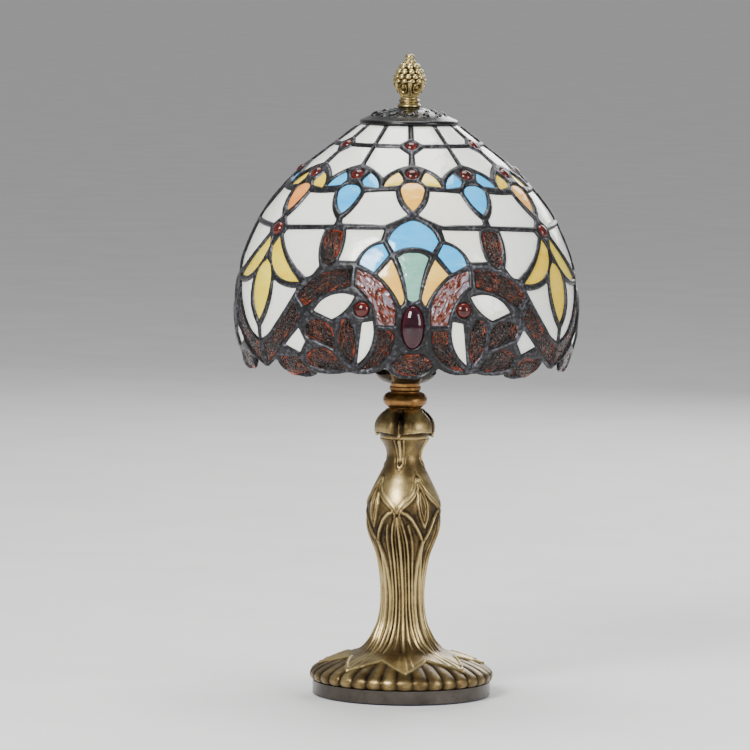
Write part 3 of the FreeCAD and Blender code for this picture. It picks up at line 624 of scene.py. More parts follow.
def lathe_piece(name, node, body, outer, inner, relief, columns, tone=0.0):
    """Closed turned piece: outer (r, z) raised along its normal by relief(deg, r, z), then inner."""
    tangent = np.gradient(outer, axis=0)
    tangent /= np.linalg.norm(tangent, axis=1)[:, None] + 1e-9
    normal = np.stack([tangent[:, 1], -tangent[:, 0]], 1)
    deg = np.arange(columns) * 360.0 / columns
    grid_r = np.repeat(outer[:, :1], columns, 1)
    grid_z = np.repeat(outer[:, 1:], columns, 1)
    rise = relief(np.repeat(deg[None, :], len(outer), 0), grid_r, grid_z)
    inner = np.asarray(inner, float)
    grid_r = np.concatenate([grid_r + rise * normal[:, :1], np.repeat(inner[:, :1], columns, 1)])
    grid_z = np.concatenate([grid_z + rise * normal[:, 1:], np.repeat(inner[:, 1:], columns, 1)])
    a = np.radians(np.repeat(deg[None, :], len(grid_r), 0))
    points = np.stack([grid_r * np.sin(a), -grid_r * np.cos(a), grid_z], -1).reshape(-1, 3)
    number = np.arange(grid_r.size).reshape(grid_r.shape)
    number = np.pad(number, ((0, 1), (0, 1)), "wrap")
    faces = np.stack([number[:-1, :-1], number[:-1, 1:], number[1:, 1:], number[1:, :-1]], -1)
    tone_level = np.zeros(len(points))
    # tone raises the value the metal shader reads as relief; the bud's tone is a painted brightening
    tone_level[:rise.size] = rise.reshape(-1) + tone
    mesh_piece(name, node, body, points, faces.reshape(-1, 4), {"relief": tone_level})


def across(deg, r, count, first=0.0):
    """Distance in mm round the axis from the nearest of count even places, the first at an angle."""
    period = 360.0 / count
    return ((deg - first + period / 2) % period - period / 2) * RADIAN * r


def crown_of(q):
    """Height, 0 to 1, of a round dome at q, the square of the distance over its radius."""
    return np.sqrt(held(1 - q))


def line_distance(deg, z, r, line, period=90.0):
    """Distance in mm on the turned surface to a line of (deg, z), mirrored and repeated."""
    reach = 8
    half = period / 2
    u = np.abs((deg + half) % period - half) * RADIAN * r
    best = np.full(deg.shape, FAR)
    for (t0, z0), (t1, z1) in zip(line[:-1], line[1:]):
        near_z = (z > min(z0, z1) - reach) & (z < max(z0, z1) + reach)
        if not near_z.any():
            continue
        rr = r[near_z]
        ax, ay = t0 * RADIAN * rr, z0
        bx, by = t1 * RADIAN * rr, z1
        px, py = u[near_z] - ax, z[near_z] - ay
        vx, vy = bx - ax, by - ay
        k = held((px * vx + py * vy) / (vx * vx + vy * vy))
        best[near_z] = np.minimum(best[near_z], np.hypot(px - k * vx, py - k * vy))
    return best


def hump(x, width):
    """Smooth hump of height 1 round x = 0."""
    return np.exp(-(x / width) ** 2)


def ridge(d, width, height):
    """Rounded ridge of a given half width round a line, with a chased groove along its foot."""
    return height * (hump(d, width) - 0.38 * hump(d - 2.0 * width, 0.75 * width))


# lines of the pedestal's relief over half a repeat of 90 degrees: (degrees, height)
BORDER = [(46, 128.5), (41, 123.5), (33, 119), (23, 115.5), (13, 112.5), (6, 110), (3.6, 107.5),
          (4.5, 105), (8, 101), (12.5, 93), (16, 83), (17.5, 68), (18, 52), (20, 40), (24, 32),
          (28, 27)]
BORDER_IN = [(42, 128.5), (37.5, 124.5), (30, 120.4), (20.5, 117.2), (11.5, 114.4), (4.5, 111.6),
             (0.6, 108.6)]
LEAF_LOW = [(9, 109), (15, 108.2), (24, 104.6), (33, 98.6), (41, 93), (45, 90)]
LEAF_STEM = [(45, 90.5), (44, 84), (40, 76), (37, 66), (36, 52), (37, 40), (40, 31), (43, 26)]
ALMOND_OUT = [(45, 125.0), (39.5, 120.0), (36.0, 113.5), (38.0, 106.5), (45, 100.0)]
ALMOND_IN = [(45, 121.0), (41.6, 116.5), (41.0, 110.5), (45, 104.0)]
CENTRE = [(0, 105.5), (0, 90), (0, 70), (0, 50), (0, 38), (0, 28)]
FINE_A = [(2, 105), (5.5, 97), (8, 88), (9, 76), (9, 60), (9.5, 46), (11, 36), (14, 29)]
FINE_B = [(17, 101), (22, 93), (26, 84), (27, 70), (27, 55), (28.5, 42), (31, 34), (35, 28)]
DROP = [(0, 150), (0, 138.5)]
HALO = [(11, 150.5), (11.5, 143), (9, 137.5), (4, 134.8), (0, 134.2)]
# each line's half width and height
LINES = ((BORDER, 0.62, 0.95), (BORDER_IN, 0.5, 0.55), (LEAF_LOW, 0.85, 0.95),
         (LEAF_STEM, 0.95, 1.0), (ALMOND_OUT, 0.6, 0.8), (ALMOND_IN, 0.45, 0.55),
         (CENTRE, 0.85, 0.95), (FINE_A, 0.5, 0.5), (FINE_B, 0.6, 0.65))
NECK_Z = 128  # the hanging drops are above this
FOOT_Z = 27  # the leaves and the rim of the foot are below this
RIBS = 36
HALF_LEAF = 22.5  # degrees from the middle of a leaf of the foot to its side


def column_relief(d, r, z):
    """Chased lines and the swelling shields of the column."""
    total = np.zeros_like(r)
    column = (z > 20) & (r < 45)
    for line, width, height in LINES:
        shape = np.where(column, ridge(line_distance(d, z, r, line), width, height), 0)
        total = np.where(shape > 0.05, np.maximum(total, shape), total + np.minimum(shape, 0))
    total = total * np.where(z < 36, np.clip((z - 22) / 14, 0.25, 1), 1)
    # the shield between the borders swells, and the leaves beside it lie lower
    bound = np.interp(z, [105, 108, 110, 112.5, 115.5, 119, 123.5, 128.5],
                      [0, 3, 6, 13, 23, 33, 41, 46])
    inside = np.clip((bound - np.abs((d + 45) % 90 - 45)) / 6, 0, 1) * held((z - 107) / 4)
    inside = inside * held((136 - z) / 8)
    band = held((z - 74) / 16) * held((130 - z) / 8)
    return total + 0.4 * inside - 0.3 * band * (1 - inside)


def foot_relief(deg, d, r, z):
    """Eight pointed leaves over a fluted rim."""
    off_middle = np.abs((d + HALF_LEAF) % (2 * HALF_LEAF) - HALF_LEAF)
    to_tip = off_middle / HALF_LEAF
    beyond = r - (48.5 - 15.0 * to_tip ** 0.9)
    leaf = held(-beyond / 1.2 + 0.5)
    edge_line = hump(beyond + 1.0, 0.9)
    vein = hump(off_middle * RADIAN * r, 0.9)
    side_vein = hump((off_middle - 5.5) * RADIAN * r, 0.7)
    rib = np.abs(np.sin(np.radians((deg + 5) * RIBS / 2)))
    flute = (rib ** 0.38 - 0.8) * np.interp(r, [30, 40, 50, 53.6], [0.2, 0.9, 1.4, 1.2])
    flute = flute * np.interp(z, [8.5, 9.6], [0.3, 1.0])
    return leaf * (0.4 + 0.95 * edge_line + 0.45 * vein + 0.35 * side_vein) + (1 - leaf) * flute


def pedestal_relief(deg, r, z):
    """Height in mm of the casting's relief, whose lines twist round the column."""
    d = deg - np.interp(z, [30, 60, 108, 130], [1.0, -1.0, -13.0, -16.0])
    drops = ridge(line_distance(d, z, r, DROP), 0.9, 0.9) + ridge(line_distance(d, z, r, HALO), 0.55, 0.6)
    total = column_relief(d, r, z) + np.where(z > NECK_Z, drops, 0)
    blend = held((FOOT_Z - z) / 4)
    return total * (1 - blend) + foot_relief(deg, d, r, z) * blend


OUTLINE = [(49.6, 8.5), (52.2, 9.0), (53.4, 10.6), (53.55, 12.1), (53.2, 13.8), (51.8, 15.4),
           (49.5, 16.9), (46.0, 18.7), (40.5, 20.8), (35.2, 22.6), (30.0, 24.3), (26.0, 25.9),
           (23.0, 28.0), (20.5, 30.4), (18.0, 33.6), (16.0, 37.3), (14.4, 40.6), (13.3, 44.3),
           (12.4, 49.5), (11.9, 56.0), (12.1, 64.0), (13.0, 72.3), (14.1, 78.2), (15.6, 84.0),
           (17.6, 88.7), (19.6, 93.3), (20.9, 97.9), (21.4, 102.6), (21.6, 106.0), (21.4, 109.5),
           (20.8, 113.5), (19.5, 117.5), (17.8, 121.7), (15.6, 126.0), (13.4, 130.6), (11.4, 135.3),
           (10.0, 138.8), (9.75, 141.6), (10.3, 144.4), (11.6, 147.0), (13.0, 149.0), (14.3, 150.9)]
OUTLINE_INSIDE = [(5.2, 150.9), (5.2, 140.0), (7.4, 137.0), (12.0, 118.0), (14.0, 98.0), (8.6, 70.0),
                  (7.6, 52.0), (10.4, 40.0), (15.2, 31.0), (24.0, 20.8), (33.0, 19.6), (43.0, 15.8),
                  (43.0, 8.5)]
lathe_piece("pedestal_relief", "pedestal_casting", "stand", along(rounded(OUTLINE, 1), 0.85),
            OUTLINE_INSIDE, pedestal_relief, 400)

# ---- bud ----
BUD_TURN = 14.0  # degrees the petals stand turned from the front
BUD_R = 17.0  # radius at which distances round the bud are measured
BUD_PAINTED_LIFT = 0.45  # added to the bud's relief: a painted brightening of its colour over the pedestal's, against the shade's shadow and the dark its negative relief gives


def bud_relief(deg, r, z):
    """Four round petals with a rib in the groove between them, over a thin flared lower edge."""
    side = ((deg + BUD_TURN + 45.0) % 90.0 - 45.0) * RADIAN * BUD_R
    off = np.abs(side)
    level = 154.5 - 2.5 * np.exp(-off / 4.0)
    body = held((z - level) / 0.7)
    puff = -3.6 * held(1 - off / 13.4) ** 6 * np.interp(z, [160, 167], [1.0, 1.5])
    dimple = -0.2 * hump(off - 7.5, 1.2) * hump(z - 159.5, 3.2)
    rib = 3.2 * hump(side, 0.8) * held((165.2 - z) / 2.0)
    roll = 0.3 * hump(z - level - 0.7, 0.5)
    tip = 1.3 * hump(side, 1.8) * hump(z - level - 0.6, 0.9)
    under = -np.maximum(r - 14.3, 0) * (1 - body)
    notch = 0.6 * hump(z - 165.9 - off * 0.42, 0.45) * (off < 5)
    fade = held((168.6 - z) / 1.4)
    return body * ((puff + dimple + rib) * fade + roll + tip + notch * fade) + under


BUD = [(14.2, 151.0), (14.6, 152.2), (16.9, 153.0), (17.7, 154.4), (18.0, 156.2), (18.0, 158.2),
       (17.5, 160.4), (16.5, 162.6), (15.1, 164.6), (13.4, 166.2), (11.6, 167.4), (9.8, 168.5)]
lathe_piece("bud_relief", "bud_casting", "stand", along(rounded(BUD, 1), 0.4),
            [(5.1, 168.5), (5.1, 151.0)], bud_relief, 300, BUD_PAINTED_LIFT)


# ---- socket cup ----
def cup_relief(deg, r, z):
    """Six flat sides pressed into the flared dish."""
    d = (deg - 32.0) % 60.0 - 30.0
    flat = math.cos(math.radians(30)) / np.cos(np.radians(d))
    share = held((r - 10.0) / 5.0)
    return r * (flat - 1) * share * 0.62


CUP_OUT = [(5.1, 183.02), (9.2, 183.02), (11.4, 183.4), (13.2, 184.1), (15.0, 185.4), (16.6, 187.2),
           (17.8, 188.9), (18.35, 189.8), (18.1, 190.0), (17.4, 189.8), (16.4, 188.2), (15.2, 187.0),
           (13.6, 185.9), (12.2, 185.4)]
lathe_piece("socket_cup_relief", "socket_cup", "stand", along(CUP_OUT, 0.45),
            [(9.0, 185.35), (5.1, 185.35)], cup_relief, 180)

# ---- finial ----
# rows of scales: height, how many, first angle, half width, half height, rise
SCALES = [
    (359.3, 12, 8, 2.3, 1.7, 1.6), (362.0, 12, 23, 2.3, 1.75, 1.7), (364.9, 10, 8, 2.3, 1.85, 1.8),
    (368.0, 7, 0, 2.4, 1.9, 1.8), (370.7, 6, 30, 1.7, 1.3, 1.1),
]
LEAVES = 6
BELOW = 0.9  # how far the ground of the scales lies below the outline
NOWHERE = -9  # lower than any relief


def finial_relief(deg, r, z):
    """Scales over a cup of leaves."""
    total = -BELOW * held((z - 350.5) / 3) * held((371.4 - z) / 1.2)
    for height, count, first, half_w, half_h, rise in SCALES:
        q = (across(deg, r, count, first) / half_w) ** 2 + ((z - height) / half_h) ** 2
        total = np.maximum(total, np.where(q < 1.0, rise * crown_of(q) - BELOW, NOWHERE))
    half = np.interp(z, [350, 352.5, 355, 357.5, 359.4, 360.2], [1.6, 1.2, 1.1, 1.7, 1.7, 0.4])
    stem = crown_of((across(deg, r, LEAVES) / half) ** 2) * held((360.2 - z) / 0.8)
    total = np.maximum(total, np.where((z > 350) & (z < 360.2), stem - 0.5, NOWHERE))
    between = across(deg, r, LEAVES, 180 / LEAVES)
    q = np.sqrt((between / 2.5) ** 2 + ((z - 355.2) / 3.1) ** 2)
    oval_ring = hump(q - 0.85, 0.14) + 0.8 * crown_of((q / 0.55) ** 2)
    return np.maximum(total, np.where(q < 1.2, oval_ring - 0.6, NOWHERE))


FINIAL = [(6.2, 343.75), (6.9, 344.4), (6.9, 345.2), (6.2, 346.0), (5.3, 346.5), (6.1, 347.1),
          (6.3, 347.8), (5.7, 348.5), (5.1, 349.1), (5.5, 350.4), (6.6, 352.4), (7.9, 354.4),
          (8.8, 356.4), (9.3, 358.4), (9.2, 360.2), (8.5, 362.2), (7.4, 364.6), (6.1, 366.8),
          (4.8, 368.8), (3.7, 370.3), (2.7, 371.2), (2.4, 371.9), (2.8, 372.8), (2.7, 373.9),
          (1.8, 374.7), (0.3, 375.0)]
lathe_piece("finial_relief", "finial_cone", "finial", along(rounded(FINIAL, 1), 0.22),
            [(0.2, 352.9), (4.15, 352.9), (4.15, 343.75)], finial_relief, 220)

# ---- vase cap ----
# rings of leaves and buds: radius, how many, first angle, half width, half length, rise
CAP_RINGS = ((19.2, 12, 0, 2.2, 2.7, 1.3), (14.4, 12, 15, 1.5, 2.0, 1.0), (21.8, 12, 15, 1.3, 1.3, 0.7))
LEAF_LEAN = 0.35
CAP_FLAT_Z = 336.8  # the rim below this is plain


def cap_relief(deg, r, z):
    """Rings of raised leaves, each with a cut vein, and buds between them."""
    total = np.zeros_like(r)
    for ring_r, count, first, wide, tall, rise in CAP_RINGS:
        lean = across(deg, r, count, first) + LEAF_LEAN * (r - ring_r)
        q = (lean / wide) ** 2 + ((r - ring_r) / tall) ** 2
        leaf = rise * crown_of(q) - 0.35 * hump(lean, 0.3) * (q < 1)
        total = np.where(z > CAP_FLAT_Z, np.maximum(total, leaf), total)
    return total


CAP = [(23.2, 338.12), (24.4, 337.25), (26.0, 336.02), (28.3, 334.28), (28.6, 334.8), (28.65, 335.4),
       (28.5, 336.2), (27.9, 336.8), (26.9, 337.2), (25.2, 337.9), (23.0, 338.9), (20.6, 339.8),
       (18.0, 340.7), (15.0, 341.6), (12.0, 342.4), (9.8, 342.9), (9.4, 343.3), (8.2, 343.6),
       (3.3, 343.6)]
lathe_piece("vase_cap_relief", "vase_cap", "shade", along(CAP, 0.4),
            [(3.3, 341.85), (8.0, 341.75), (12.0, 340.85), (18.0, 339.35)], cap_relief, 300)


# ---- materials ----
class Shader:
    """A small builder for one node material."""

    def __init__(self, name):
        self.material = bpy.data.materials.new(name)
        self.material.use_nodes = True
        self.tree = self.material.node_tree
        self.tree.nodes.clear()
        self.out = self.tree.nodes.new("ShaderNodeOutputMaterial")

    def add(self, kind, settings=None, **inputs):
        """New node; inputs are constants or sockets, by number (i0) or by name with _ for space."""
        made = self.tree.nodes.new(kind)
        for key, value in (settings or {}).items():
            setattr(made, key, value)
        for key, value in inputs.items():
            number = key[1:]
            by_number = key[0] == "i" and number.isdigit()
            target = made.inputs[int(number) if by_number else key.replace("_", " ")]
            if isinstance(value, bpy.types.NodeSocket):
                self.tree.links.new(value, target)
            elif isinstance(value, tuple) and len(value) == 3 and target.type == "RGBA":
                target.default_value = value + (1.0,)
            else:
                target.default_value = value
        return made

    def value(self, attribute, output="Fac"):
        """A number, or with output Vector a place, carried by the mesh."""
        return self.add("ShaderNodeAttribute", {"attribute_name": attribute}).outputs[output]

    def where(self):
        """The object's own coordinates in millimetres."""
        spot = self.add("ShaderNodeTexCoord").outputs["Object"]
        return self.add("ShaderNodeVectorMath", {"operation": "SCALE"}, i0=spot, Scale=1000.0).outputs[0]

    def stretch(self, spot, x, y, z):
        """Coordinates stretched along each axis."""
        made = self.add("ShaderNodeVectorMath", {"operation": "MULTIPLY"}, i0=spot, i1=(x, y, z))
        return made.outputs[0]

    def noise(self, spot, scale, detail=3.0, rough=0.5, bend=0.0):
        """Noise at a scale per millimetre."""
        made = self.add("ShaderNodeTexNoise", None, Vector=spot, Scale=scale, Detail=detail,
                        Roughness=rough, Distortion=bend)
        return made.outputs["Fac"]

    def ramp(self, value, *stops):
        """Colour ramp from (place, colour) stops."""
        made = self.add("ShaderNodeValToRGB", None, Fac=value)
        band = made.color_ramp
        while len(band.elements) < len(stops):
            band.elements.new(1.0)
        for element, (place, colour) in zip(band.elements, stops):
            element.position = place
            colour = colour if isinstance(colour, tuple) else (colour, colour, colour)
            element.color = colour + (1.0,)
        return made.outputs["Color"]

    def remap(self, value, a, b, low, high):
        """Value mapped from a..b to low..high and held inside."""
        made = self.add("ShaderNodeMapRange", None, i0=value, i1=a, i2=b, i3=low, i4=high)
        return made.outputs["Result"]

    def spread(self, noise, low, high):
        """The usual range of a noise, 0.3 to 0.7, mapped to low..high."""
        return self.remap(noise, 0.3, 0.7, low, high)

    def plus(self, a, b):
        """Sum of two values."""
        return self.add("ShaderNodeMath", {"operation": "ADD"}, i0=a, i1=b).outputs[0]

    def times(self, a, b):
        """Product of two values."""
        return self.add("ShaderNodeMath", {"operation": "MULTIPLY"}, i0=a, i1=b).outputs[0]

    def mix(self, share, a, b):
        """Blend of two colours."""
        return self.add("ShaderNodeMix", {"data_type": "RGBA"}, i0=share, i6=a, i7=b).outputs[2]

    def bump(self, height, strength, reach):
        """Surface bump from a height, reach in mm."""
        made = self.add("ShaderNodeBump", None, Strength=strength, Distance=reach * MM, Height=height)
        return made.outputs["Normal"]


def ground(shader, colour, metallic, rough, bump, **more):
    """Principled surface with the usual inputs, and others by name."""
    made = shader.add("ShaderNodeBsdfPrincipled", None, Base_Color=colour, Metallic=metallic,
                      Roughness=rough, Normal=bump, **more)
    shader.tree.links.new(made.outputs["BSDF"], shader.out.inputs["Surface"])
    return shader.material


def aged_metal(shader, dark, middle, light, rough=(0.42, 0.3), metallic=0.85, wear=(-0.5, 0.95),
               patina=(0.5, 0.85)):
    """Cast metal, dark in the hollows of its relief and rubbed bright along the ridges."""
    spot = shader.where()
    relief = shader.value("relief")
    blotch = shader.noise(spot, 0.085, 5.0, 0.6)
    grit = shader.noise(spot, 1.6, 3.0, 0.6)
    height = shader.remap(relief, wear[0], wear[1], 0.0, 1.0)
    tone_level = shader.plus(height, shader.spread(blotch, -0.22, 0.22))
    tone_level = shader.plus(tone_level, shader.spread(grit, -0.1, 0.1))
    colour = shader.ramp(tone_level, (0.0, dark), (0.42, middle), (0.85, light))
    brown = shader.ramp(shader.noise(spot, 0.03, 4.0, 0.6), (patina[0], 0.0), (patina[1], 0.7))
    colour = shader.mix(brown, colour, tuple(0.75 * v for v in middle))
    polish = shader.remap(tone_level, 0.0, 1.0, rough[0], rough[1])
    bump = shader.bump(shader.plus(shader.times(grit, 0.4), blotch), 0.35, 0.35)
    return ground(shader, colour, metallic, polish, bump)


def plain_metal(shader, a, b, rough, metallic, scale, strength=0.12):
    """Small hardware: two close tones, fine tool marks and a smudged polish."""
    spot = shader.where()
    marks = shader.noise(spot, scale, 5.0, 0.6)
    smudge = shader.noise(spot, 0.08, 3.0, 0.5)
    colour = shader.mix(shader.spread(marks, 0.0, 1.0), a, b)
    polish = shader.spread(smudge, rough * 0.75, rough * 1.3)
    return ground(shader, colour, metallic, polish, shader.bump(marks, strength, 0.2))


def opal(shader, base, pale, deep, streak, wisps):
    """Opalescent art glass: streaks drawn out along the sheet, faintly rippled and glossy."""
    grain = shader.value("grain", "Vector")
    sheet = shader.stretch(grain, 0.35, 1.0, 1.0)
    flow = shader.noise(sheet, 0.09, 4.0, 0.55, 0.6)
    fine = shader.noise(sheet, 0.32, 4.0, 0.6, 0.4)
    tint = shader.value("tint")
    streaks = shader.remap(shader.plus(flow, shader.times(fine, 0.35)), 0.5, 0.85, 0.0, 1.0)
    colour = shader.mix(shader.times(streaks, streak), base, pale)
    colour = shader.mix(shader.remap(tint, 0.0, 1.0, 0.0, wisps), colour, deep)
    ripple = shader.noise(grain, 0.16, 2.0, 0.5, 0.3)
    hammer = shader.noise(grain, 0.7, 2.0, 0.5)
    bump = shader.bump(shader.plus(ripple, shader.times(hammer, 0.12)), 0.5, 1.1)
    polish = shader.spread(fine, 0.112, 0.224)
    return ground(shader, colour, 0.0, polish, bump, Coat_Weight=0.35, Coat_Roughness=0.04,
                  IOR=1.52, Transmission_Weight=0.1, Subsurface_Weight=0.25,
                  Subsurface_Radius=(0.006, 0.006, 0.005), Subsurface_Scale=0.4)


def ripple_glass(shader):
    """Dark brown rippled glass, red brown in the thin of each ripple, with a painted red glow of light at
    some edges.
    """
    grain = shader.value("grain", "Vector")
    lip = shader.value("lip")
    patch = shader.noise(grain, 0.13, 3.0, 0.6)
    drawn = shader.stretch(grain, 0.3, 1.0, 1.0)
    ripple = shader.noise(drawn, 0.62, 3.0, 0.55, 1.6)
    crumb = shader.add("ShaderNodeTexVoronoi", {"feature": "SMOOTH_F1"}, Vector=grain, Scale=0.9)
    thin = shader.plus(shader.times(ripple, 0.7), shader.times(patch, 0.5))
    body = shader.ramp(thin, (0.5, (0.003, 0.001, 0.0005)), (0.6, (0.012, 0.0035, 0.0014)),
                       (0.68, (0.06, 0.013, 0.004)), (0.8, (0.17, 0.04, 0.01)))
    # painted glow: red near some pane edges, masked by the patch noise, standing in for light showing
    # through the glass
    edge = shader.remap(lip, 0.1, 0.95, 1.0, 0.0)
    painted_edge_glow = shader.times(edge, shader.remap(patch, 0.5, 0.62, 0.0, 0.9))
    colour = shader.mix(painted_edge_glow, body, (0.42, 0.045, 0.01))
    height = shader.plus(shader.times(crumb.outputs["Distance"], 0.8), ripple)
    bump = shader.bump(height, 1.0, 2.6)
    return ground(shader, colour, 0.0, 0.05, bump, IOR=1.5, Specular_IOR_Level=0.45)


def streaky_glass(shader):
    """Red brown glass rippled like bark, veined with lavender grey that is a painted reflection off the
    ripples.
    """
    grain = shader.value("grain", "Vector")
    drawn = shader.stretch(grain, 0.42, 1.0, 1.0)
    ripple = shader.noise(drawn, 0.36, 1.0, 0.4, 0.7)
    cloud = shader.noise(grain, 0.12, 3.0, 0.5)
    mixed = shader.plus(ripple, shader.remap(cloud, 0.35, 0.65, -0.07, 0.07))
    # the lavender grey at both ends of the ramp is a painted reflection on the ripples
    colour = shader.ramp(mixed, (0.36, (0.17, 0.14, 0.17)), (0.43, (0.16, 0.032, 0.013)),
                         (0.5, (0.016, 0.004, 0.002)), (0.57, (0.15, 0.028, 0.011)),
                         (0.66, (0.2, 0.17, 0.2)))
    bump = shader.bump(ripple, 0.95, 1.9)
    return ground(shader, colour, 0.0, 0.1, bump, IOR=1.5, Specular_IOR_Level=0.5)


def jewel_glass(shader, dark, bright):
    """Polished cabochon: deep at the middle, with a painted glow of light towards its foot."""
    spot = shader.where()
    cloud = shader.noise(spot, 0.22, 3.0, 0.5)
    # painted glow: the colour brightens from the crown down to the foot, standing in for light showing
    # through the jewel
    foot = shader.remap(shader.value("lip"), 0.0, 0.7, 0.75, 0.0)
    painted_glow = shader.plus(foot, shader.remap(cloud, 0.35, 0.7, -0.1, 0.35))
    colour = shader.mix(painted_glow, dark, bright)
    bump = shader.bump(shader.noise(spot, 0.35, 2.0, 0.5), 0.15, 0.4)
    return ground(shader, colour, 0.0, 0.06, bump, IOR=1.5, Specular_IOR_Level=0.5,
                  Transmission_Weight=0.1)


def lead_look(shader):
    """Patinated solder: near black, blue-grey on the crowns of its lumps, partly burnished metal and
    partly a painted highlight, lightly lumpy.
    """
    spot = shader.where()
    lumps = shader.noise(spot, 0.55, 3.0, 0.55)
    fleck = shader.noise(spot, 2.4, 2.0, 0.6)
    drift = shader.noise(spot, 0.045, 3.0, 0.5)
    # lighter blue-grey on the lump crowns: partly burnish, partly painted highlight
    colour = shader.ramp(shader.plus(lumps, shader.times(drift, 0.5)),
                         (0.5, (0.006, 0.006, 0.006)), (0.78, (0.02, 0.02, 0.022)),
                         (1.0, (0.09, 0.09, 0.11)))
    polish = shader.spread(fleck, 0.26, 0.44)
    bump = shader.bump(shader.plus(lumps, shader.times(fleck, 0.2)), 0.4, 0.45)
    return ground(shader, colour, 0.6, polish, bump)


def cap_look(shader):
    """Gloss black patina over the spun cap, with the brass breathing through on the leaves."""
    spot = shader.where()
    relief = shader.value("relief")
    blotch = shader.noise(spot, 0.12, 4.0, 0.6)
    tone_level = shader.plus(shader.remap(relief, 0.2, 1.2, 0.0, 0.7),
                       shader.remap(blotch, 0.35, 0.7, -0.3, 0.3))
    colour = shader.ramp(tone_level, (0.1, (0.004, 0.004, 0.004)), (0.6, (0.012, 0.011, 0.01)),
                         (1.0, (0.07, 0.062, 0.05)))
    bump = shader.bump(shader.noise(spot, 0.6, 3.0, 0.5), 0.2, 0.25)
    return ground(shader, colour, 0.55, shader.spread(blotch, 0.22, 0.34), bump,
                  Coat_Weight=0.15, Coat_Roughness=0.15)


def moulded(shader, a, b, rough, coat=0.0):
    """Moulded phenolic or rubber with a faint orange-peel skin."""
    spot = shader.where()
    speck = shader.noise(spot, 0.9, 4.0, 0.6)
    colour = shader.mix(shader.remap(speck, 0.35, 0.65, 0.0, 1.0), a, b)
    bump = shader.bump(shader.noise(spot, 1.8, 2.0, 0.5), 0.15, 0.1)
    polish = shader.spread(speck, rough * 0.85, rough * 1.15)
    return ground(shader, colour, 0.0, polish, bump, Coat_Weight=coat, Coat_Roughness=0.1)


def felt_look(shader):
    """Blue-black felt with a nap."""
    spot = shader.where()
    nap = shader.noise(spot, 2.2, 5.0, 0.7)
    hairs = shader.noise(shader.stretch(spot, 1.0, 0.2, 1.0), 3.0, 3.0, 0.6, 1.5)
    colour = shader.mix(shader.spread(nap, 0.0, 1.0), (0.012, 0.016, 0.035), (0.05, 0.06, 0.1))
    bump = shader.bump(shader.plus(nap, hairs), 0.7, 0.4)
    return ground(shader, colour, 0.0, 0.95, bump, Sheen_Weight=0.5, Sheen_Roughness=0.5)


def drum_look(shader):
    """Satin brown-bronze paint on the foot drum."""
    spot = shader.where()
    cloud = shader.noise(spot, 0.06, 4.0, 0.6)
    peel = shader.noise(spot, 0.9, 3.0, 0.5)
    colour = shader.ramp(cloud, (0.3, (0.03, 0.024, 0.018)), (0.55, (0.06, 0.05, 0.04)),
                         (0.75, (0.09, 0.078, 0.068)))
    bump = shader.bump(peel, 0.2, 0.25)
    return ground(shader, colour, 0.65, shader.spread(peel, 0.26, 0.4), bump,
                  Coat_Weight=0.15, Coat_Roughness=0.1)


def bulb_look(shader, clear, tone):
    """Lamp glass: clear with a thin cast and faint draw lines."""
    spot = shader.where()
    lines = shader.noise(shader.stretch(spot, 1, 1, 0.15), 0.2, 2.0, 0.5)
    haze = shader.noise(spot, 0.5, 3.0, 0.6)
    colour = shader.mix(shader.spread(lines, 0.0, 0.3), tone, (1.0, 0.98, 0.94))
    bump = shader.bump(lines, 0.1, 0.3)
    return ground(shader, colour, 0.0, shader.spread(haze, 0.03, 0.12), bump, IOR=1.48,
                  Transmission_Weight=clear)


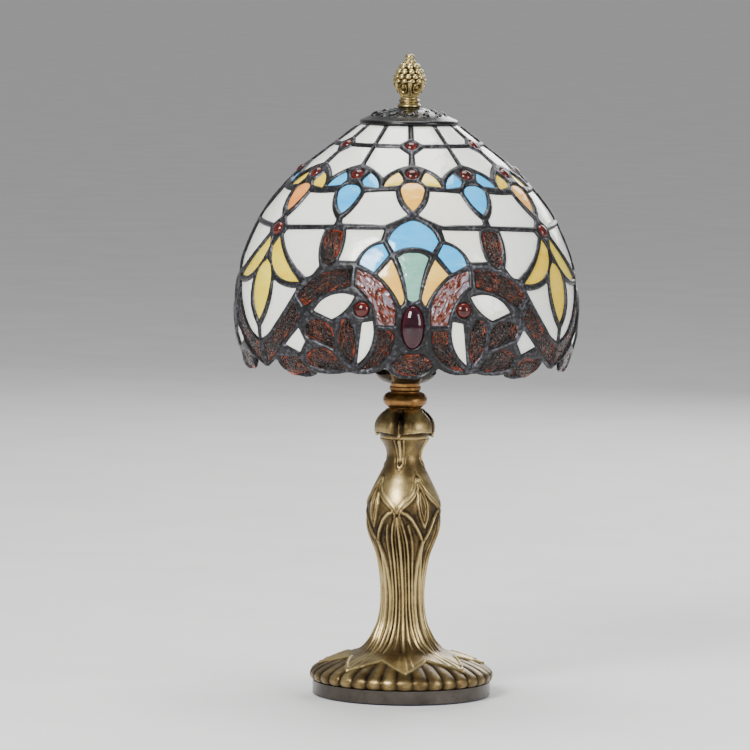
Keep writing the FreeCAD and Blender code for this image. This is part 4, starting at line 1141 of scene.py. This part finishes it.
# each slot's look, and what sets it apart
MAKERS = {
    "felt": (felt_look,),
    "drum_paint": (drum_look,),
    "bronze": (aged_metal, (0.016, 0.01, 0.004), (0.15, 0.1, 0.038), (0.52, 0.4, 0.18)),
    "iron": (plain_metal, (0.03, 0.03, 0.032), (0.075, 0.07, 0.068), 0.6, 0.8, 0.8, 0.5),
    "steel": (plain_metal, (0.42, 0.42, 0.43), (0.62, 0.62, 0.6), 0.32, 1.0, 0.9),
    "brass": (aged_metal, (0.02, 0.013, 0.005), (0.17, 0.12, 0.04), (0.56, 0.46, 0.22),
              (0.36, 0.24), 0.95, (-0.95, 0.9), (0.6, 0.9)),
    "old_brass": (plain_metal, (0.13, 0.062, 0.02), (0.34, 0.18, 0.06), 0.3, 0.95, 0.22, 0.3),
    "black_cap": (cap_look,),
    "solder": (lead_look,),
    "phenolic": (moulded, (0.012, 0.009, 0.008), (0.028, 0.021, 0.018), 0.3, 0.3),
    "bushing_black": (moulded, (0.006, 0.006, 0.006), (0.018, 0.018, 0.018), 0.4),
    "rubber_black": (moulded, (0.01, 0.01, 0.01), (0.025, 0.025, 0.025), 0.65),
    "bulb_clear": (bulb_look, 0.92, (0.9, 0.9, 0.86)),
    "bulb_white": (bulb_look, 0.5, (0.8, 0.82, 0.8)),
    "tungsten": (plain_metal, (0.45, 0.34, 0.12), (0.6, 0.5, 0.26), 0.4, 0.3, 1.2),
    "aluminium_cap": (plain_metal, (0.6, 0.6, 0.6), (0.74, 0.74, 0.73), 0.3, 1.0, 0.9),
    "cream_glass": (opal, (0.88, 0.88, 0.8), (0.9, 0.96, 0.96), (0.8, 0.75, 0.55), 0.5, 0.9),
    "gold_glass": (opal, (0.82, 0.58, 0.002), (0.9, 0.8, 0.11), (0.78, 0.33, 0.002), 0.7, 0.9),
    "amber_glass": (opal, (0.86, 0.44, 0.04), (0.93, 0.68, 0.17), (0.82, 0.09, 0.008), 0.7, 0.6),
    "blue_glass": (opal, (0.005, 0.43, 0.92), (0.1, 0.62, 0.95), (0.005, 0.33, 0.8), 0.6, 0.5),
    "green_glass": (opal, (0.16, 0.42, 0.32), (0.38, 0.62, 0.5), (0.1, 0.34, 0.3), 0.6, 0.5),
    "brown_glass": (ripple_glass,),
    "streaky_red": (streaky_glass,),
    # a jewel's second colour is its painted glow towards the foot
    "red_glass": (jewel_glass, (0.03, 0.003, 0.002), (0.17, 0.012, 0.005)),
    "plum_glass": (jewel_glass, (0.012, 0.001, 0.004), (0.055, 0.003, 0.01)),
}
LOOKS = {slot: make(Shader(slot + "_look"), *values) for slot, (make, *values) in MAKERS.items()}


for name, obj in frame["nodes"].items():
    obj.data.materials.clear()
    obj.data.materials.append(LOOKS[SLOT_OF[name]])
    obj.data.polygons.foreach_set("use_smooth", [True] * len(obj.data.polygons))
    obj.data.set_sharp_from_angle(angle=math.radians(32))
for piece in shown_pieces():
    if "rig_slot" in piece:
        piece.data.materials.append(LOOKS[piece["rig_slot"]])


# ---- floor, light and camera ----
def floor_look(shader):
    """Pale matt floor with a barely visible mottle."""
    mottle = shader.noise(shader.where(), 0.012, 4.0, 0.5)
    colour = shader.mix(shader.spread(mottle, 0.0, 1.0), (0.72, 0.71, 0.7), (0.77, 0.76, 0.75))
    return ground(shader, colour, 0.0, 0.65, shader.bump(mottle, 0.05, 0.5))


bpy.ops.mesh.primitive_plane_add(size=80.0, location=(0, 0, 0))
floor = bpy.context.object
floor.name = "floor"
floor.data.materials.append(floor_look(Shader("floor_look")))

# soft boxes: name, place, height of the point faced, width and height, power
LIGHTS = (
    ("key_light", (-0.9, -1.5, 1.25), 0.2, (0.8, 0.8), 62),
    ("fill_light", (1.5, -1.1, 0.7), 0.2, (0.7, 1.0), 20),
    ("top_light", (0.0, 0.3, 1.7), 0.2, (1.0, 1.0), 24),
    ("back_light", (0.6, 1.6, 0.9), 0.25, (1.0, 0.8), 14),
)
for name, place, faced, size, power in LIGHTS:
    data = bpy.data.lights.new(name, "AREA")
    data.shape = "RECTANGLE"
    data.size, data.size_y = size
    data.energy = power
    light = bpy.data.objects.new(name, data)
    light.location = place
    light.rotation_euler = (Vector((0, 0, faced)) - Vector(place)).to_track_quat("-Z", "Y").to_euler()
    bpy.context.scene.collection.objects.link(light)

world = bpy.data.worlds.new("studio")
world.use_nodes = True
background = world.node_tree.nodes["Background"]
background.inputs["Color"].default_value = (0.9, 0.91, 0.93, 1.0)
background.inputs["Strength"].default_value = 0.46
bpy.context.scene.world = world

CAMERA_TURN = math.radians(-2.2)
CAMERA_AWAY = 3.4
CAMERA_HIGH = 0.48
AIM_HIGH = 0.185
ROLL = math.radians(0.8)
camera_data = bpy.data.cameras.new("camera")
camera_data.lens = 280.6
camera_data.sensor_width = 36.0
camera_data.shift_x = -0.0405
camera_data.shift_y = 0.0061
camera_data.clip_start = 0.05
camera_data.clip_end = 50.0
camera = bpy.data.objects.new("camera", camera_data)
spot_x = CAMERA_AWAY * math.sin(CAMERA_TURN)
spot_y = -CAMERA_AWAY * math.cos(CAMERA_TURN)
camera.location = (spot_x, spot_y, CAMERA_HIGH)
facing = (Vector((0, 0, AIM_HIGH)) - camera.location).to_track_quat("-Z", "Y")
camera.rotation_mode = "QUATERNION"
camera.rotation_quaternion = facing @ Quaternion((0, 0, 1), ROLL)
bpy.context.scene.collection.objects.link(camera)
bpy.context.scene.camera = camera
